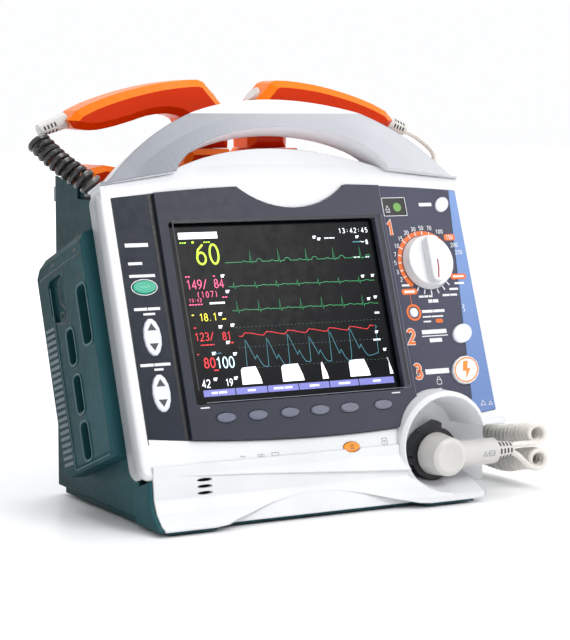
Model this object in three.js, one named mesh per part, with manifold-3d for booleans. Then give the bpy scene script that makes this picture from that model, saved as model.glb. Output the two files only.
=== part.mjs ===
// A portable monitor and defibrillator with two external paddles, in millimetres, +Z up.
// X runs to the right of the operator, Y runs to the back, and the feet stand on z = 0.
// The upper body leans back: its front pieces sit in a face frame whose X is the machine's X,
// whose Y is the depth behind the face and whose Z climbs the face.

import * as THREE from "three";
import { mergeVertices } from "three/addons/utils/BufferGeometryUtils.js";
import Module from "manifold-3d";

// ---------------------------------------------------------------- driving dimensions
const PLAN_SHIFT = new THREE.Vector3(4.1, -35.5, 0); // brings the footprint's centre to x = y = 0
const GAP = 0.3; // clearance between neighbouring pieces
const WALL = 3; // moulded wall thickness

const TILT = THREE.MathUtils.degToRad(19.5); // lean of the face
const FACE_ORIGIN_Z = 134.6; // height of the screen's centre
const BAND_HALF = 144.5; // half width of the band around the face
const FACE_TOP = 87; // face frame height of the band's top
const FACE_BOTTOM = -107; // face frame height of the band's bottom
const BAND_BEVEL = 3; // rounding of the band around the face
const BAND_DEPTH = 15; // depth of the white band

const REAR_HALF = 137.5; // half width of the rear case
const REAR_Y = 117; // back wall
const REAR_TOP = 222; // top of the back wall
const REAR_TAPER = 0.02; // narrowing of the rear case towards the back
const CHIN_Y = -35; // upright front of the chin
const TOE_Y = -53; // foremost point of the chin's toe
const CHIN_RIGHT = 122; // right end of the chin, beside the cord channel

const SCREEN_X = -17.7; // screen centre, left of the case's centre
const SCREEN_HALF_X = 74.25;
const SCREEN_HALF_Z = 55.7;
const PANEL_LEFT = -134.1; // dark panel's limits in the face frame
const PANEL_RIGHT = 135;
const BEZEL_LEFT = -104.2;
const BEZEL_RIGHT = 70.3;
const PANEL_SEAT = 1.6; // depth of the recess that the panels sit in

const DOME_TOP = 119; // ridge of the hump behind the face
const DOME_RADIUS = 197;
const DOME_DEPTH = 20;
const HANDLE_TOP = 151;
const HANDLE_RADIUS = 180;
const HANDLE_DEPTH = 22;
const SHOULDER = { outer: 141, inner: 76, low: 88.4, high: 99.1 }; // slanted seat of the handle's feet
const WINDOW = { x: 1, z: 90, halfX: 85, halfZ: 39 }; // opening under the handle

const TROUGH = { y0: 52.2, y1: 71.6, floor: 195 }; // channel for the cords behind the hump
const DECK_Z = 204; // ledge under the paddle tray
const TRAY_BACK = 124;
const TRAY = { x0: -133.1, x1: 132, y0: TROUGH.y1 + GAP, z0: DECK_Z + GAP, floor: 206.8, rim: 214.4 };

const BOWL = { x: 86, z: 40, outer: 36, radius: 32.6, bottom: 26, front: -38, back: -8, lip: 2.2 };
const SOCKET = { x: 88.5, z: 30.5, radius: 18.4 };
const CHANNEL_TOP = 50; // ceiling of the cord channel at the right of the bowl

const CHIN_LEFT = -134.2; // left end of the chin, beside the rear case's cheek
const PADDLE_MID_X = -8.9; // plane between the two paddles
const PADDLE_Y = 97; // their common centre line
const PADDLE_BASE_Z = 209.5;

const LEAD = 4.2; // cord diameter
const COIL = 16.6; // outside diameter of a curly cord

// ---------------------------------------------------------------- materials
const finish = (color, roughness = 0.5, metalness = 0) =>
  new THREE.MeshStandardMaterial({ color, roughness, metalness });
const WHITE = finish(0xf0f1f3, 0.42);
const TEAL = finish(0x2a5a62, 0.5);
const SLATE = finish(0x3a4052, 0.45);
const CHARCOAL = finish(0x42455a, 0.4);
const BLUE = finish(0x88a3df, 0.5);
const ORANGE = finish(0xe9520f, 0.32);
const BLACK = finish(0x101214, 0.5);
const RUBBER = finish(0x1b1c1e, 0.85);
const GLASS = finish(0x05070a, 0.08);
const KEY = finish(0x7e879c, 0.5);
const PALE = finish(0xd9dbe6, 0.45);
const GREEN = finish(0x1fae8c, 0.4);
const WARM = finish(0xd6d0c8, 0.5);
const CORD = finish(0xc9c0b4, 0.6);
const STEEL = finish(0xb9bcc0, 0.3, 1);
const BOARD = finish(0x1d5b3a, 0.6);
const GREY = finish(0xc8cbd1, 0.5);

// ---------------------------------------------------------------- solids and booleans
const wasm = await Module();
wasm.setup();

function solid(geometry) {
  const flat = geometry.index ? geometry.toNonIndexed() : geometry;
  const bare = new THREE.BufferGeometry();
  bare.setAttribute("position", flat.getAttribute("position"));
  const merged = mergeVertices(bare, 1e-4);
  return new wasm.Manifold(
    new wasm.Mesh({
      numProp: 3,
      vertProperties: merged.getAttribute("position").array,
      triVerts: new Uint32Array(merged.index.array),
    }),
  );
}

function geometryOf(manifold) {
  const mesh = manifold.getMesh();
  const geometry = new THREE.BufferGeometry();
  geometry.setAttribute("position", new THREE.BufferAttribute(mesh.vertProperties, 3));
  geometry.setIndex(new THREE.BufferAttribute(mesh.triVerts, 1));
  const flat = geometry.toNonIndexed();
  flat.computeVertexNormals();
  return flat;
}

const join = (first, ...rest) => rest.reduce((sum, next) => sum.add(next), first);
const cut = (body, ...tools) => tools.reduce((left, tool) => left.subtract(tool), body);

// ---------------------------------------------------------------- outlines
function polygon(points) {
  return new THREE.Shape(points.map(([a, b]) => new THREE.Vector2(a, b)));
}

function roundRect(x0, z0, x1, z1, r) {
  const shape = new THREE.Shape();
  shape.moveTo(x0 + r, z0);
  shape.lineTo(x1 - r, z0);
  shape.absarc(x1 - r, z0 + r, r, -Math.PI / 2, 0);
  shape.lineTo(x1, z1 - r);
  shape.absarc(x1 - r, z1 - r, r, 0, Math.PI / 2);
  shape.lineTo(x0 + r, z1);
  shape.absarc(x0 + r, z1 - r, r, Math.PI / 2, Math.PI);
  shape.lineTo(x0, z0 + r);
  shape.absarc(x0 + r, z0 + r, r, Math.PI, Math.PI * 1.5);
  return shape;
}

function oval(x, z, width, height, lean = 0, grow = 0) {
  const shape = new THREE.Shape();
  shape.absellipse(x, z, width / 2 + grow, height / 2 + grow, 0, Math.PI * 2, false, lean);
  return shape;
}

// ---------------------------------------------------------------- prisms
const alongX = new THREE.Matrix4().makeBasis(
  new THREE.Vector3(0, 1, 0),
  new THREE.Vector3(0, 0, 1),
  new THREE.Vector3(1, 0, 0),
);
const towardsFront = new THREE.Matrix4().makeBasis(
  new THREE.Vector3(1, 0, 0),
  new THREE.Vector3(0, 0, 1),
  new THREE.Vector3(0, -1, 0),
);

function prism(shape, depth, bevel, curveSegments) {
  return new THREE.ExtrudeGeometry(shape, {
    depth: depth - 2 * bevel,
    bevelEnabled: bevel > 0,
    bevelSize: bevel,
    bevelOffset: -bevel,
    bevelThickness: bevel,
    bevelSegments: 1,
    curveSegments,
  }).translate(0, 0, bevel);
}

// Outline in (y, z), swept from x0 to x1.
function sideProfile(shape, x0, x1, bevel = 0, segments = 8) {
  return prism(shape, x1 - x0, bevel, segments).applyMatrix4(alongX).translate(x0, 0, 0);
}

// Outline in (x, z), swept from the front depth y0 to the back depth y1.
function frontProfile(shape, y0, y1, bevel = 0, segments = 8) {
  return prism(shape, y1 - y0, bevel, segments).applyMatrix4(towardsFront).translate(0, y1, 0);
}

// Outline in (x, y), swept from z0 to z1.
function planProfile(shape, z0, z1, bevel = 0, segments = 8) {
  return prism(shape, z1 - z0, bevel, segments).translate(0, 0, z0);
}

function block(x0, y0, z0, x1, y1, z1) {
  return new THREE.BoxGeometry(x1 - x0, y1 - y0, z1 - z0).translate(
    (x0 + x1) / 2,
    (y0 + y1) / 2,
    (z0 + z1) / 2,
  );
}

// Round bar from the front depth y0 to the back depth y1.
function barY(x, z, frontRadius, backRadius, y0, y1, sides = 32) {
  return new THREE.CylinderGeometry(backRadius, frontRadius, y1 - y0, sides).translate(
    x,
    (y0 + y1) / 2,
    z,
  );
}

// Places a geometry drawn in the face frame into the machine.
const faceMatrix = new THREE.Matrix4()
  .makeTranslation(0, 0, FACE_ORIGIN_Z)
  .multiply(new THREE.Matrix4().makeRotationX(-TILT));
const onFace = (geometry) => geometry.applyMatrix4(faceMatrix);

// ---------------------------------------------------------------- scene graph
const defibrillator = new THREE.Group();
defibrillator.position.copy(PLAN_SHIFT);
const face = new THREE.Group();
face.position.set(0, 0, FACE_ORIGIN_Z);
face.rotation.x = -TILT;
defibrillator.add(face);

function put(parent, name, shape, material) {
  const geometry = shape.isBufferGeometry ? shape : geometryOf(shape);
  const mesh = new THREE.Mesh(geometry, material);
  mesh.name = name;
  parent.add(mesh);
  return mesh;
}

// ---------------------------------------------------------------- keys on the face
const SOFT_KEY_X = [-77.7, -54.3, -30.4, -7.4, 15.6, 42.1];
const softKey = (x) => ({ x, z: -71.1, width: 14.4, height: 6.6, lean: 0, proud: 4.4 });
const BEZEL_KEYS = SOFT_KEY_X.map((x, i) => ({ name: `soft_key_${i + 1}`, paint: KEY, ...softKey(x) }));
const LEFT_KEYS = [
  { name: "start_stop_key", x: -119.9, z: 19.1, width: 17, height: 9, lean: 0, proud: 1.2, paint: GREEN },
  { name: "rate_rocker", x: -119.8, z: -14.3, width: 12.5, height: 25, lean: 0, proud: 1.4, paint: PALE },
  { name: "output_rocker", x: -119.6, z: -51.3, width: 12.5, height: 25, lean: 0, proud: 1.4, paint: PALE },
];
const RIGHT_KEYS = [
  { name: "sync_key", x: 121.2, z: 69.4, width: 13, height: 9.6, lean: 0.7, proud: 1.8, paint: PALE },
  { name: "child_mode_key", x: 81.8, z: -7.9, width: 7, height: 7, lean: 0, proud: 1.2, paint: ORANGE },
  { name: "charge_key", x: 118, z: -25, width: 17, height: 13, lean: 0.45, proud: 2.4, paint: PALE },
  { name: "shock_key", x: 115, z: -51.2, width: 23, height: 19.5, lean: 0.45, proud: 2.6, paint: WHITE },
];
const CASE_KEYS = [
  { name: "event_key", x: 13.5, z: -97.4, width: 12.5, height: 7, lean: 0, proud: 1, paint: ORANGE },
];
const DIAL = { x: 99.4, z: 27.3, radius: 19.6, skirt: 7.6, height: 14, lift: 0.5, shaft: 3 };
const KEY_SLACK = 0.35; // gap around each key
const KEY_TAIL = 5; // depth of each key behind the face

const keyHole = (key, front, back) =>
  frontProfile(oval(key.x, key.z, key.width, key.height, key.lean, KEY_SLACK), front, back, 0, 7);
const keyBody = (key) =>
  frontProfile(oval(key.x, key.z, key.width, key.height, key.lean), -key.proud, KEY_TAIL, 0.6, 7);

// ---------------------------------------------------------------- front case
// One white moulding: band and face, hump under the handle, chin with its toe, bowl for the plug.
const domeOutline = (inset) => {
  const shape = new THREE.Shape();
  const half = 108 - inset;
  const rise = (x) => DOME_TOP - inset - DOME_RADIUS + Math.sqrt(DOME_RADIUS ** 2 - x * x);
  shape.moveTo(-half, 70);
  shape.lineTo(half, 70);
  const steps = 24;
  for (let i = 0; i <= steps; i += 1) {
    const x = half - (2 * half * i) / steps;
    shape.lineTo(x, rise(x));
  }
  return shape;
};

// Region in front of the hump's slope, in the face frame's (y, z).
const slopeCutter = (inset) =>
  sideProfile(
    polygon([
      [-5, 85 - inset],
      [0.5, 87 - inset],
      [6, 95 - inset],
      [12, 105 - inset],
      [DOME_DEPTH - 1, DOME_TOP + 1 - inset],
      [DOME_DEPTH - 1, 200],
      [-5, 200],
    ]),
    -160,
    160,
  );

const CHIN_PROFILE = [
  [CHIN_Y, 42],
  [CHIN_Y, 34],
  [CHIN_Y - 1.5, 20.6],
  [CHIN_Y - 5.5, 12.6],
  [CHIN_Y - 13, 6],
  [TOE_Y, 4.4],
  [TOE_Y, 3.3],
  [-22, 3.3],
  [-16, 24],
  [-22, 42],
];
const CHIN_INNER = [
  [CHIN_Y + WALL + 6, 50],
  [CHIN_Y + WALL + 0.6, 35],
  [CHIN_Y + WALL - 1.5, 20.6],
  [CHIN_Y + WALL - 4.5, 13],
  [CHIN_Y - 4, 7],
  [CHIN_Y - 4, 1],
  [0, 1],
  [0, 50],
];

function panelOutline(x0, x1, inset = 0) {
  const top = (x) => 86.2 - 6.4 * ((x - 0.5) / 134.5) ** 2 - inset;
  const bottom = (x) => -88.7 + 8.2 * ((x - 0.5) / 134.5) ** 2 + inset;
  const shape = new THREE.Shape();
  const steps = 14;
  const at = (i) => x0 + ((x1 - x0) * i) / steps;
  shape.moveTo(x0, bottom(x0));
  for (let i = 1; i <= steps; i += 1) shape.lineTo(at(i), bottom(at(i)));
  for (let i = steps; i >= 0; i -= 1) shape.lineTo(at(i), top(at(i)));
  return shape;
}

// Round bite that the white case takes out of the panel's top edge.
const BITE = { z: 134.4, radius: 64.6 };
const bite = (grow, y0, y1) => solid(barY(0, BITE.z, BITE.radius + grow, BITE.radius + grow, y0, y1, 56));

const bowlHood = (grow, y0, y1) => barY(BOWL.x, BOWL.z, BOWL.outer + grow, BOWL.outer + grow, y0, y1, 48);

const ARCH = { x: -17, halfX: 90, height: 14 };
function archOutline() {
  const shape = new THREE.Shape();
  const half = ARCH.halfX;
  const steps = 20;
  shape.moveTo(-half + ARCH.x, -2);
  shape.lineTo(half + ARCH.x, -2);
  for (let i = 0; i <= steps; i += 1) {
    const x = half - (2 * half * i) / steps;
    shape.lineTo(ARCH.x + x, 3 + ARCH.height * Math.cos((Math.PI * x) / (2 * half)) ** 2);
  }
  return shape;
}

// The toe is scooped away under the arch, down to a wall that leans forward a little.
function archCutter() {
  const scoop = solid(frontProfile(archOutline(), -80, 0));
  const wall = sideProfile(
    polygon([
      [-36, 40],
      [-38, 17.6],
      [-43.5, 3.3],
      [-43.5, -5],
      [5, -5],
      [5, 40],
    ]),
    -150,
    150,
  );
  return cut(scoop, solid(wall));
}

// Lower edge of the face's plate, which drops towards the bowl.
const PLATE_EDGE = [
  [-124, -104],
  [-102, -106.6],
  [-56, -109.1],
  [-9, -112.5],
  [65, -117.3],
  [BOWL.x, -118],
  [BOWL.x, -95],
  [-124, -95],
];

function channelCutter() {
  const throat = sideProfile(
    polygon([
      [-70, 5.8],
      [-45, 6.6],
      [BOWL.back, 14.6],
      [BOWL.back, CHANNEL_TOP],
      [-70, CHANNEL_TOP],
    ]),
    BOWL.x,
    170,
  );
  const mouth = barY(BOWL.x, BOWL.z, BOWL.radius, BOWL.radius, -70, BOWL.front + 0.1, 48);
  const hood = barY(BOWL.x, BOWL.z, BOWL.radius, BOWL.bottom, BOWL.front, BOWL.back, 48);
  const seat = barY(SOCKET.x, SOCKET.z, SOCKET.radius + 0.6, SOCKET.radius + 0.6, -70, BOWL.back, 40);
  return join(solid(throat), solid(mouth), solid(hood), solid(seat));
}

const chinCorner = () => {
  const shape = new THREE.Shape();
  const r = 20;
  shape.moveTo(CHIN_RIGHT + 30, -5);
  shape.lineTo(CHIN_RIGHT + 30, 3.3 + r);
  shape.lineTo(CHIN_RIGHT, 3.3 + r);
  shape.absarc(CHIN_RIGHT - r, 3.3 + r, r, 0, -Math.PI / 2, true);
  shape.lineTo(CHIN_RIGHT - r, -5);
  return shape;
};

const SPEAKER = { x: -98, z: 27, pitch: 4.2 };

function buildFrontCase() {
  const band = solid(
    onFace(
      frontProfile(
        roundRect(-BAND_HALF, FACE_BOTTOM, BAND_HALF, FACE_TOP, 10),
        0,
        BAND_DEPTH,
        BAND_BEVEL,
        4,
      ),
    ),
  );
  const hump = cut(
    solid(onFace(frontProfile(domeOutline(0), 0, DOME_DEPTH))),
    solid(onFace(slopeCutter(0))),
  );
  const chin = solid(sideProfile(polygon(CHIN_PROFILE), CHIN_LEFT, CHIN_RIGHT));
  const plate = solid(onFace(frontProfile(polygon(PLATE_EDGE), 0, 7)));
  const seat = SHOULDER;
  const shoulders = cut(
    solid(
      onFace(
        frontProfile(
          polygon([
            [-seat.outer, 76],
            [seat.outer, 76],
            [seat.outer, seat.low],
            [seat.inner, seat.high],
            [-seat.inner, seat.high],
            [-seat.outer, seat.low],
          ]),
          0,
          BAND_DEPTH,
        ),
      ),
    ),
    solid(onFace(slopeCutter(0))),
  );
  const faceHollow = solid(
    onFace(
      frontProfile(
        roundRect(-BAND_HALF + WALL + 1, FACE_BOTTOM - 4, BAND_HALF - WALL - 1, FACE_TOP - WALL - 2, 5),
        WALL,
        60,
        0,
        4,
      ),
    ),
  );
  const humpHollow = cut(
    solid(onFace(frontProfile(domeOutline(WALL), WALL, DOME_DEPTH - WALL))),
    solid(onFace(slopeCutter(WALL + 1))),
  );
  const chinHollow = solid(sideProfile(polygon(CHIN_INNER), CHIN_LEFT + WALL, CHIN_RIGHT - WALL));
  const shell = cut(join(band, hump, chin, plate, shoulders), faceHollow, humpHollow, chinHollow);

  const hoodBlock = join(
    solid(bowlHood(0, BOWL.front + BOWL.lip, BOWL.back + WALL)),
    solid(barY(BOWL.x, BOWL.z, BOWL.outer - BOWL.lip, BOWL.outer, BOWL.front, BOWL.front + BOWL.lip, 48)),
  );
  const channelBlock = solid(block(BOWL.x, -34, 6, REAR_HALF, BOWL.back + WALL, 54));
  const lip = solid(sideProfile(polygon(CHIN_PROFILE), 48, CHIN_RIGHT));
  const withBowl = join(shell, hoodBlock, channelBlock, lip);

  const tools = [
    channelCutter(),
    solid(frontProfile(chinCorner(), -70, BOWL.back)),
    archCutter(),
    cut(
      solid(onFace(frontProfile(panelOutline(PANEL_LEFT, PANEL_RIGHT), -2, PANEL_SEAT))),
      solid(onFace(geometryOf(bite(0, -5, 5)))),
      solid(bowlHood(0.01, -60, 20)),
    ),
    solid(
      onFace(
        frontProfile(roundRect(SCREEN_X - 82, -64, SCREEN_X + 82, 64, 3), -2, 8, 0, 3),
      ),
    ),
    solid(onFace(barY(DIAL.x, DIAL.z, 5, 5, -3, 9, 20))),
  ];
  for (const key of [...BEZEL_KEYS, ...LEFT_KEYS, ...RIGHT_KEYS, ...CASE_KEYS]) {
    tools.push(solid(onFace(keyHole(key, -2, 8))));
  }
  for (const i of [-1, 0, 1]) {
    const slot = oval(SPEAKER.x, SPEAKER.z + i * SPEAKER.pitch, 11, 2.3);
    tools.push(solid(frontProfile(slot, -60, -20, 0, 6)));
  }
  return cut(withBowl, ...tools);
}
put(defibrillator, "front_case", buildFrontCase(), WHITE);

// ---------------------------------------------------------------- carrying handle
// Closed solid through a run of sections, each a list of [x, y, z] corners in the same order.
function loft(sections) {
  const count = sections[0].length;
  const corners = sections.flat().map(([x, y, z]) => new THREE.Vector3(x, y, z));
  const triangles = [];
  const quad = (a, b, c, d) => triangles.push(corners[a], corners[b], corners[c], corners[a], corners[c], corners[d]);
  for (let i = 0; i + 1 < sections.length; i += 1) {
    for (let k = 0; k < count; k += 1) {
      const next = (k + 1) % count;
      quad(i * count + k, i * count + next, (i + 1) * count + next, (i + 1) * count + k);
    }
  }
  const last = (sections.length - 1) * count;
  for (let k = 1; k + 1 < count; k += 1) {
    triangles.push(corners[0], corners[k + 1], corners[k]);
    triangles.push(corners[last], corners[last + k], corners[last + k + 1]);
  }
  const geometry = new THREE.BufferGeometry().setFromPoints(triangles);
  geometry.computeVertexNormals();
  return geometry;
}

// The handle's front is hollowed towards its opening, most in the middle and not at all at its feet.
const HOLLOW = { reach: 56, rim: 4, brow: 8, inner: 46, depth: 9, proud: 0.3 };
function handleHollow() {
  const sections = [];
  const steps = 60;
  for (let i = 0; i <= steps; i += 1) {
    const share = (2 * i) / steps - 1;
    const turn = THREE.MathUtils.degToRad(HOLLOW.reach * share);
    const bulge = Math.cos((Math.PI * share) / 2);
    const corner = (radius, y) => [
      radius * Math.sin(turn),
      y,
      HANDLE_TOP - HANDLE_RADIUS + radius * Math.cos(turn),
    ];
    const outer = HANDLE_RADIUS - HOLLOW.rim - HOLLOW.brow * bulge;
    const inner = HANDLE_RADIUS - HOLLOW.inner;
    const depth = HOLLOW.depth * bulge - HOLLOW.proud;
    sections.push([
      corner(outer, -5),
      corner(inner, -5),
      corner(inner, depth),
      corner(outer, -HOLLOW.proud),
    ]);
  }
  return loft(sections);
}

function buildHandle() {
  const outline = new THREE.Shape();
  const half = 139.5;
  const top = (x) => HANDLE_TOP - HANDLE_RADIUS + Math.sqrt(HANDLE_RADIUS ** 2 - x * x);
  const steps = 64;
  outline.moveTo(-half, SHOULDER.low);
  outline.lineTo(half, SHOULDER.low);
  for (let i = 0; i <= steps; i += 1) {
    const x = half - (2 * half * i) / steps;
    outline.lineTo(x, Math.max(top(x), SHOULDER.low + 2.5));
  }
  const arch = solid(onFace(frontProfile(outline, 0, HANDLE_DEPTH)));
  const window = new THREE.Shape();
  window.absellipse(WINDOW.x, WINDOW.z, WINDOW.halfX, WINDOW.halfZ, 0, Math.PI, false);
  window.lineTo(WINDOW.x - WINDOW.halfX, FACE_TOP - 10);
  window.lineTo(WINDOW.x + WINDOW.halfX, FACE_TOP - 10);
  const chamfer = sideProfile(
    polygon([
      [-1, HANDLE_TOP - 14],
      [-1, HANDLE_TOP + 5],
      [8, HANDLE_TOP + 5],
      [8, HANDLE_TOP],
      [0, HANDLE_TOP - 13],
    ]),
    -100,
    100,
  );
  const clearance = cut(
    solid(onFace(frontProfile(domeOutline(-GAP), -1, DOME_DEPTH + GAP))),
    solid(onFace(slopeCutter(-GAP))),
  );
  const seat = SHOULDER;
  const seatRoom = polygon([
    [-160, 60],
    [160, 60],
    [160, seat.low + GAP],
    [seat.outer, seat.low + GAP],
    [seat.inner, seat.high + GAP],
    [-seat.inner, seat.high + GAP],
    [-seat.outer, seat.low + GAP],
    [-160, seat.low + GAP],
  ]);
  return cut(
    arch,
    solid(onFace(frontProfile(seatRoom, -5, 40))),
    solid(onFace(frontProfile(window, -5, 40, 0, 36))),
    solid(onFace(chamfer)),
    solid(onFace(handleHollow())),
    clearance,
  );
}
put(defibrillator, "carry_handle", buildHandle(), WHITE);

// ---------------------------------------------------------------- rear case
const bandBack = (z, depth) => {
  // Point of the machine's (y, z) plane that lies at face height z and the given depth.
  return [
    z * Math.sin(TILT) + depth * Math.cos(TILT),
    FACE_ORIGIN_Z + z * Math.cos(TILT) - depth * Math.sin(TILT),
  ];
};

function taper(geometry) {
  const position = geometry.getAttribute("position");
  for (let i = 0; i < position.count; i += 1) {
    const back = THREE.MathUtils.clamp((position.getY(i) + 50) / (REAR_Y + 50), 0, 1.1);
    position.setX(i, position.getX(i) * (1 - REAR_TAPER * back));
  }
  return geometry;
}

// Room that the front case and the handle take, grown by the gap.
function frontEnvelope() {
  const grown = roundRect(-BAND_HALF - 1, FACE_BOTTOM - GAP, BAND_HALF + 1, FACE_TOP + GAP, 8);
  const handleFoot = roundRect(-BAND_HALF, SHOULDER.low - 4, BAND_HALF, HANDLE_TOP, 2);
  const chin = CHIN_PROFILE.map(([y, z]) => [y + (y > -30 ? GAP : -GAP), z > 4.4 ? z + GAP : z - 2]);
  return join(
    solid(onFace(frontProfile(grown, -20, BAND_DEPTH + GAP, 0, 2))),
    solid(onFace(frontProfile(domeOutline(-GAP), -5, DOME_DEPTH + GAP))),
    solid(onFace(frontProfile(handleFoot, -5, HANDLE_DEPTH + GAP, 0, 2))),
    solid(sideProfile(polygon(chin), CHIN_LEFT - GAP, REAR_HALF + 5)),
  );
}

// Side wall's stretch beside the chin, a little behind the chin's surface.
const CHEEK = [
  [CHIN_Y + 0.8, 42],
  [CHIN_Y + 0.8, 34],
  [CHIN_Y - 0.7, 20.6],
  [CHIN_Y - 4.6, 12.8],
  [CHIN_Y - 12, 6.4],
  [TOE_Y + 1, 4.6],
  [TOE_Y + 1, 3.3],
  [-15, 3.3],
  [-15, 42],
];

function buildRearCase() {
  const low = bandBack(FACE_BOTTOM, BAND_DEPTH + GAP);
  const high = bandBack(FACE_TOP - 4, BAND_DEPTH + GAP);
  const hull = solid(
    taper(
      sideProfile(
        polygon([
          [-21, 6.9],
          [-15.6, 24],
          low,
          high,
          [high[0] + 7, 212],
          [REAR_Y, REAR_TOP],
          [REAR_Y, 6.9],
        ]),
        -REAR_HALF,
        REAR_HALF,
      ),
    ),
  );
  const hollow = solid(
    taper(
      sideProfile(
        polygon([
          [-60, -5],
          [-60, 1],
          [-24, 4],
          [-24, 60],
          [high[0] - 25, 150],
          [high[0] - 2, TROUGH.floor - WALL],
          [TROUGH.y1 + 2, TROUGH.floor - WALL],
          [TROUGH.y1 + WALL, DECK_Z - WALL],
          [REAR_Y - WALL, DECK_Z - WALL],
          [REAR_Y - WALL, -5],
        ]),
        -REAR_HALF + WALL,
        REAR_HALF - WALL,
      ),
    ),
  );
  const cheek = solid(sideProfile(polygon(CHEEK), -REAR_HALF, -REAR_HALF + WALL));
  const deckCut = solid(block(TRAY.x0 - GAP, TROUGH.y1, DECK_Z, TRAY.x1 + GAP, 140, 260));
  const troughCut = solid(block(-REAR_HALF + WALL, TROUGH.y0, TROUGH.floor, 160, TROUGH.y1, 260));
  const cordSaddle = solid(block(-160, TROUGH.y0 - 3, 207.6, -REAR_HALF + WALL + 1, TROUGH.y1 + 6, 260));
  const bowlRoom = solid(block(40, -60, 0, 160, BOWL.back + WALL + GAP, 60));
  const inletHole = solid(block(-113.4, REAR_Y - 8, 24.6, -80.6, REAR_Y + 5, 49.4));
  const bayHole = solid(block(19.6, REAR_Y - 8, 19.6, 110.4, REAR_Y + 5, 90.4));
  return cut(
    join(hull, cheek),
    hollow,
    deckCut,
    troughCut,
    cordSaddle,
    bowlRoom,
    inletHole,
    bayHole,
    frontEnvelope(),
  );
}
put(defibrillator, "rear_case", buildRearCase(), TEAL);

// ---------------------------------------------------------------- base pan and feet
function buildBasePan() {
  const plate = solid(planProfile(roundRect(-REAR_HALF + 4, -20, REAR_HALF - 6, REAR_Y - 3.4, 8), 2.6, 6.5));
  const toeEdge = polygon([
    [-131, -18],
    [-131, -51],
    [ARCH.x - ARCH.halfX + 9, -51],
    [ARCH.x - ARCH.halfX + 16, -41.5],
    [ARCH.x + ARCH.halfX - 16, -41.5],
    [ARCH.x + ARCH.halfX - 9, -51],
    [100, -51],
    [100, -18],
  ]);
  const toe = solid(planProfile(toeEdge, 1.6, 3));
  const hull = join(plate, toe);
  const bowlRoom = solid(block(46, -60, 3, 160, BOWL.back + WALL + 1, 60));
  return cut(hull, bowlRoom);
}
const FEET = [
  [-112, -34],
  [84, -34],
  [-112, 98],
  [112, 98],
];
put(defibrillator, "base_pan", buildBasePan(), TEAL);
const FOOT_NAMES = ["foot_front_left", "foot_front_right", "foot_rear_left", "foot_rear_right"];
FEET.forEach(([x, y], i) => {
  const top = (y < 0 ? 1.6 : 2.6) - GAP;
  put(defibrillator, FOOT_NAMES[i], planProfile(oval(x, y, 19.2, 19.2), 0, top, 0.4, 8), RUBBER);
});

// ---------------------------------------------------------------- side pod
// Connector module on the left flank, square to the leaning face.
const POD = { outer: -152.7, inner: -138, front: 16, back: 96, low: -86, high: 66 };
const POD_SOCKETS = [
  { depth: 26, half: 6.8, low: -9.5, high: 29 },
  { depth: 54, half: 5.6, low: -17, high: 6 },
  { depth: 53.2, half: 5.6, low: -50, high: -25.5 },
  { depth: 52.5, half: 5.8, low: -81, high: -57 },
];
function buildPod() {
  const outline = new THREE.Shape([
    new THREE.Vector2(POD.inner, POD.low),
    new THREE.Vector2(POD.outer + 3, POD.low),
    new THREE.Vector2(POD.outer, POD.low + 4),
    new THREE.Vector2(POD.outer, POD.high - 9),
    new THREE.Vector2(POD.outer + 3, POD.high - 4),
    new THREE.Vector2(POD.inner, POD.high),
  ]);
  const hull = solid(onFace(frontProfile(outline, POD.front, POD.back)));
  const rearCorner = polygon([
    [POD.back - 18, POD.high + 1],
    [POD.back + 2, POD.high + 1],
    [POD.back + 2, POD.high - 14],
    [POD.back, POD.high - 14],
  ]);
  const sockets = POD_SOCKETS.map(({ depth, half, low, high }) => {
    const slot = roundRect(depth - half, low, depth + half, high, 4);
    return solid(onFace(sideProfile(slot, POD.outer - 5, POD.outer + 9, 0, 4)));
  });
  const latch = solid(onFace(sideProfile(roundRect(54, 15, 79, 45, 5), POD.outer - 5, POD.outer + 3, 0, 3)));
  const groundCut = solid(block(-170, -80, -20, -120, 200, 8));
  const corner = solid(onFace(sideProfile(rearCorner, POD.outer - 5, POD.inner + 5)));
  return cut(hull, ...sockets, latch, corner, groundCut);
}
put(defibrillator, "connector_pod", buildPod(), TEAL);

// ---------------------------------------------------------------- panels, display and keys
const hoodRoom = () => solid(geometryOf(solid(bowlHood(GAP, -60, 20))).applyMatrix4(faceMatrix.clone().invert()));
function panel(x0, x1, front, back, keys, extra = []) {
  const plate = solid(frontProfile(panelOutline(x0, x1, 0.4), front, back));
  const holes = keys.map((key) => solid(keyHole(key, front - 2, back + 2)));
  return cut(plate, bite(0.4, -10, 10), hoodRoom(), ...holes, ...extra);
}
put(face, "left_panel", panel(PANEL_LEFT + GAP, BEZEL_LEFT - GAP, 0, PANEL_SEAT - GAP, LEFT_KEYS), SLATE);
const recess = (front, back, halfX, halfZ, r) =>
  solid(
    frontProfile(
      roundRect(SCREEN_X - halfX, -halfZ, SCREEN_X + halfX, halfZ, r),
      front,
      back,
      0,
      3,
    ),
  );
put(
  face,
  "display_bezel",
  panel(BEZEL_LEFT, BEZEL_RIGHT - GAP, -3.2, PANEL_SEAT - GAP, BEZEL_KEYS, [recess(-10, 10, 79.5, 61.5, 2)]),
  CHARCOAL,
);
const dialHole = solid(barY(DIAL.x, DIAL.z, 4.6, 4.6, -5, 9, 20));
const lampHole = solid(frontProfile(roundRect(71.3, 61.7, 91.3, 75.6, 1), -5, 5, 0, 2));
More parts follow.
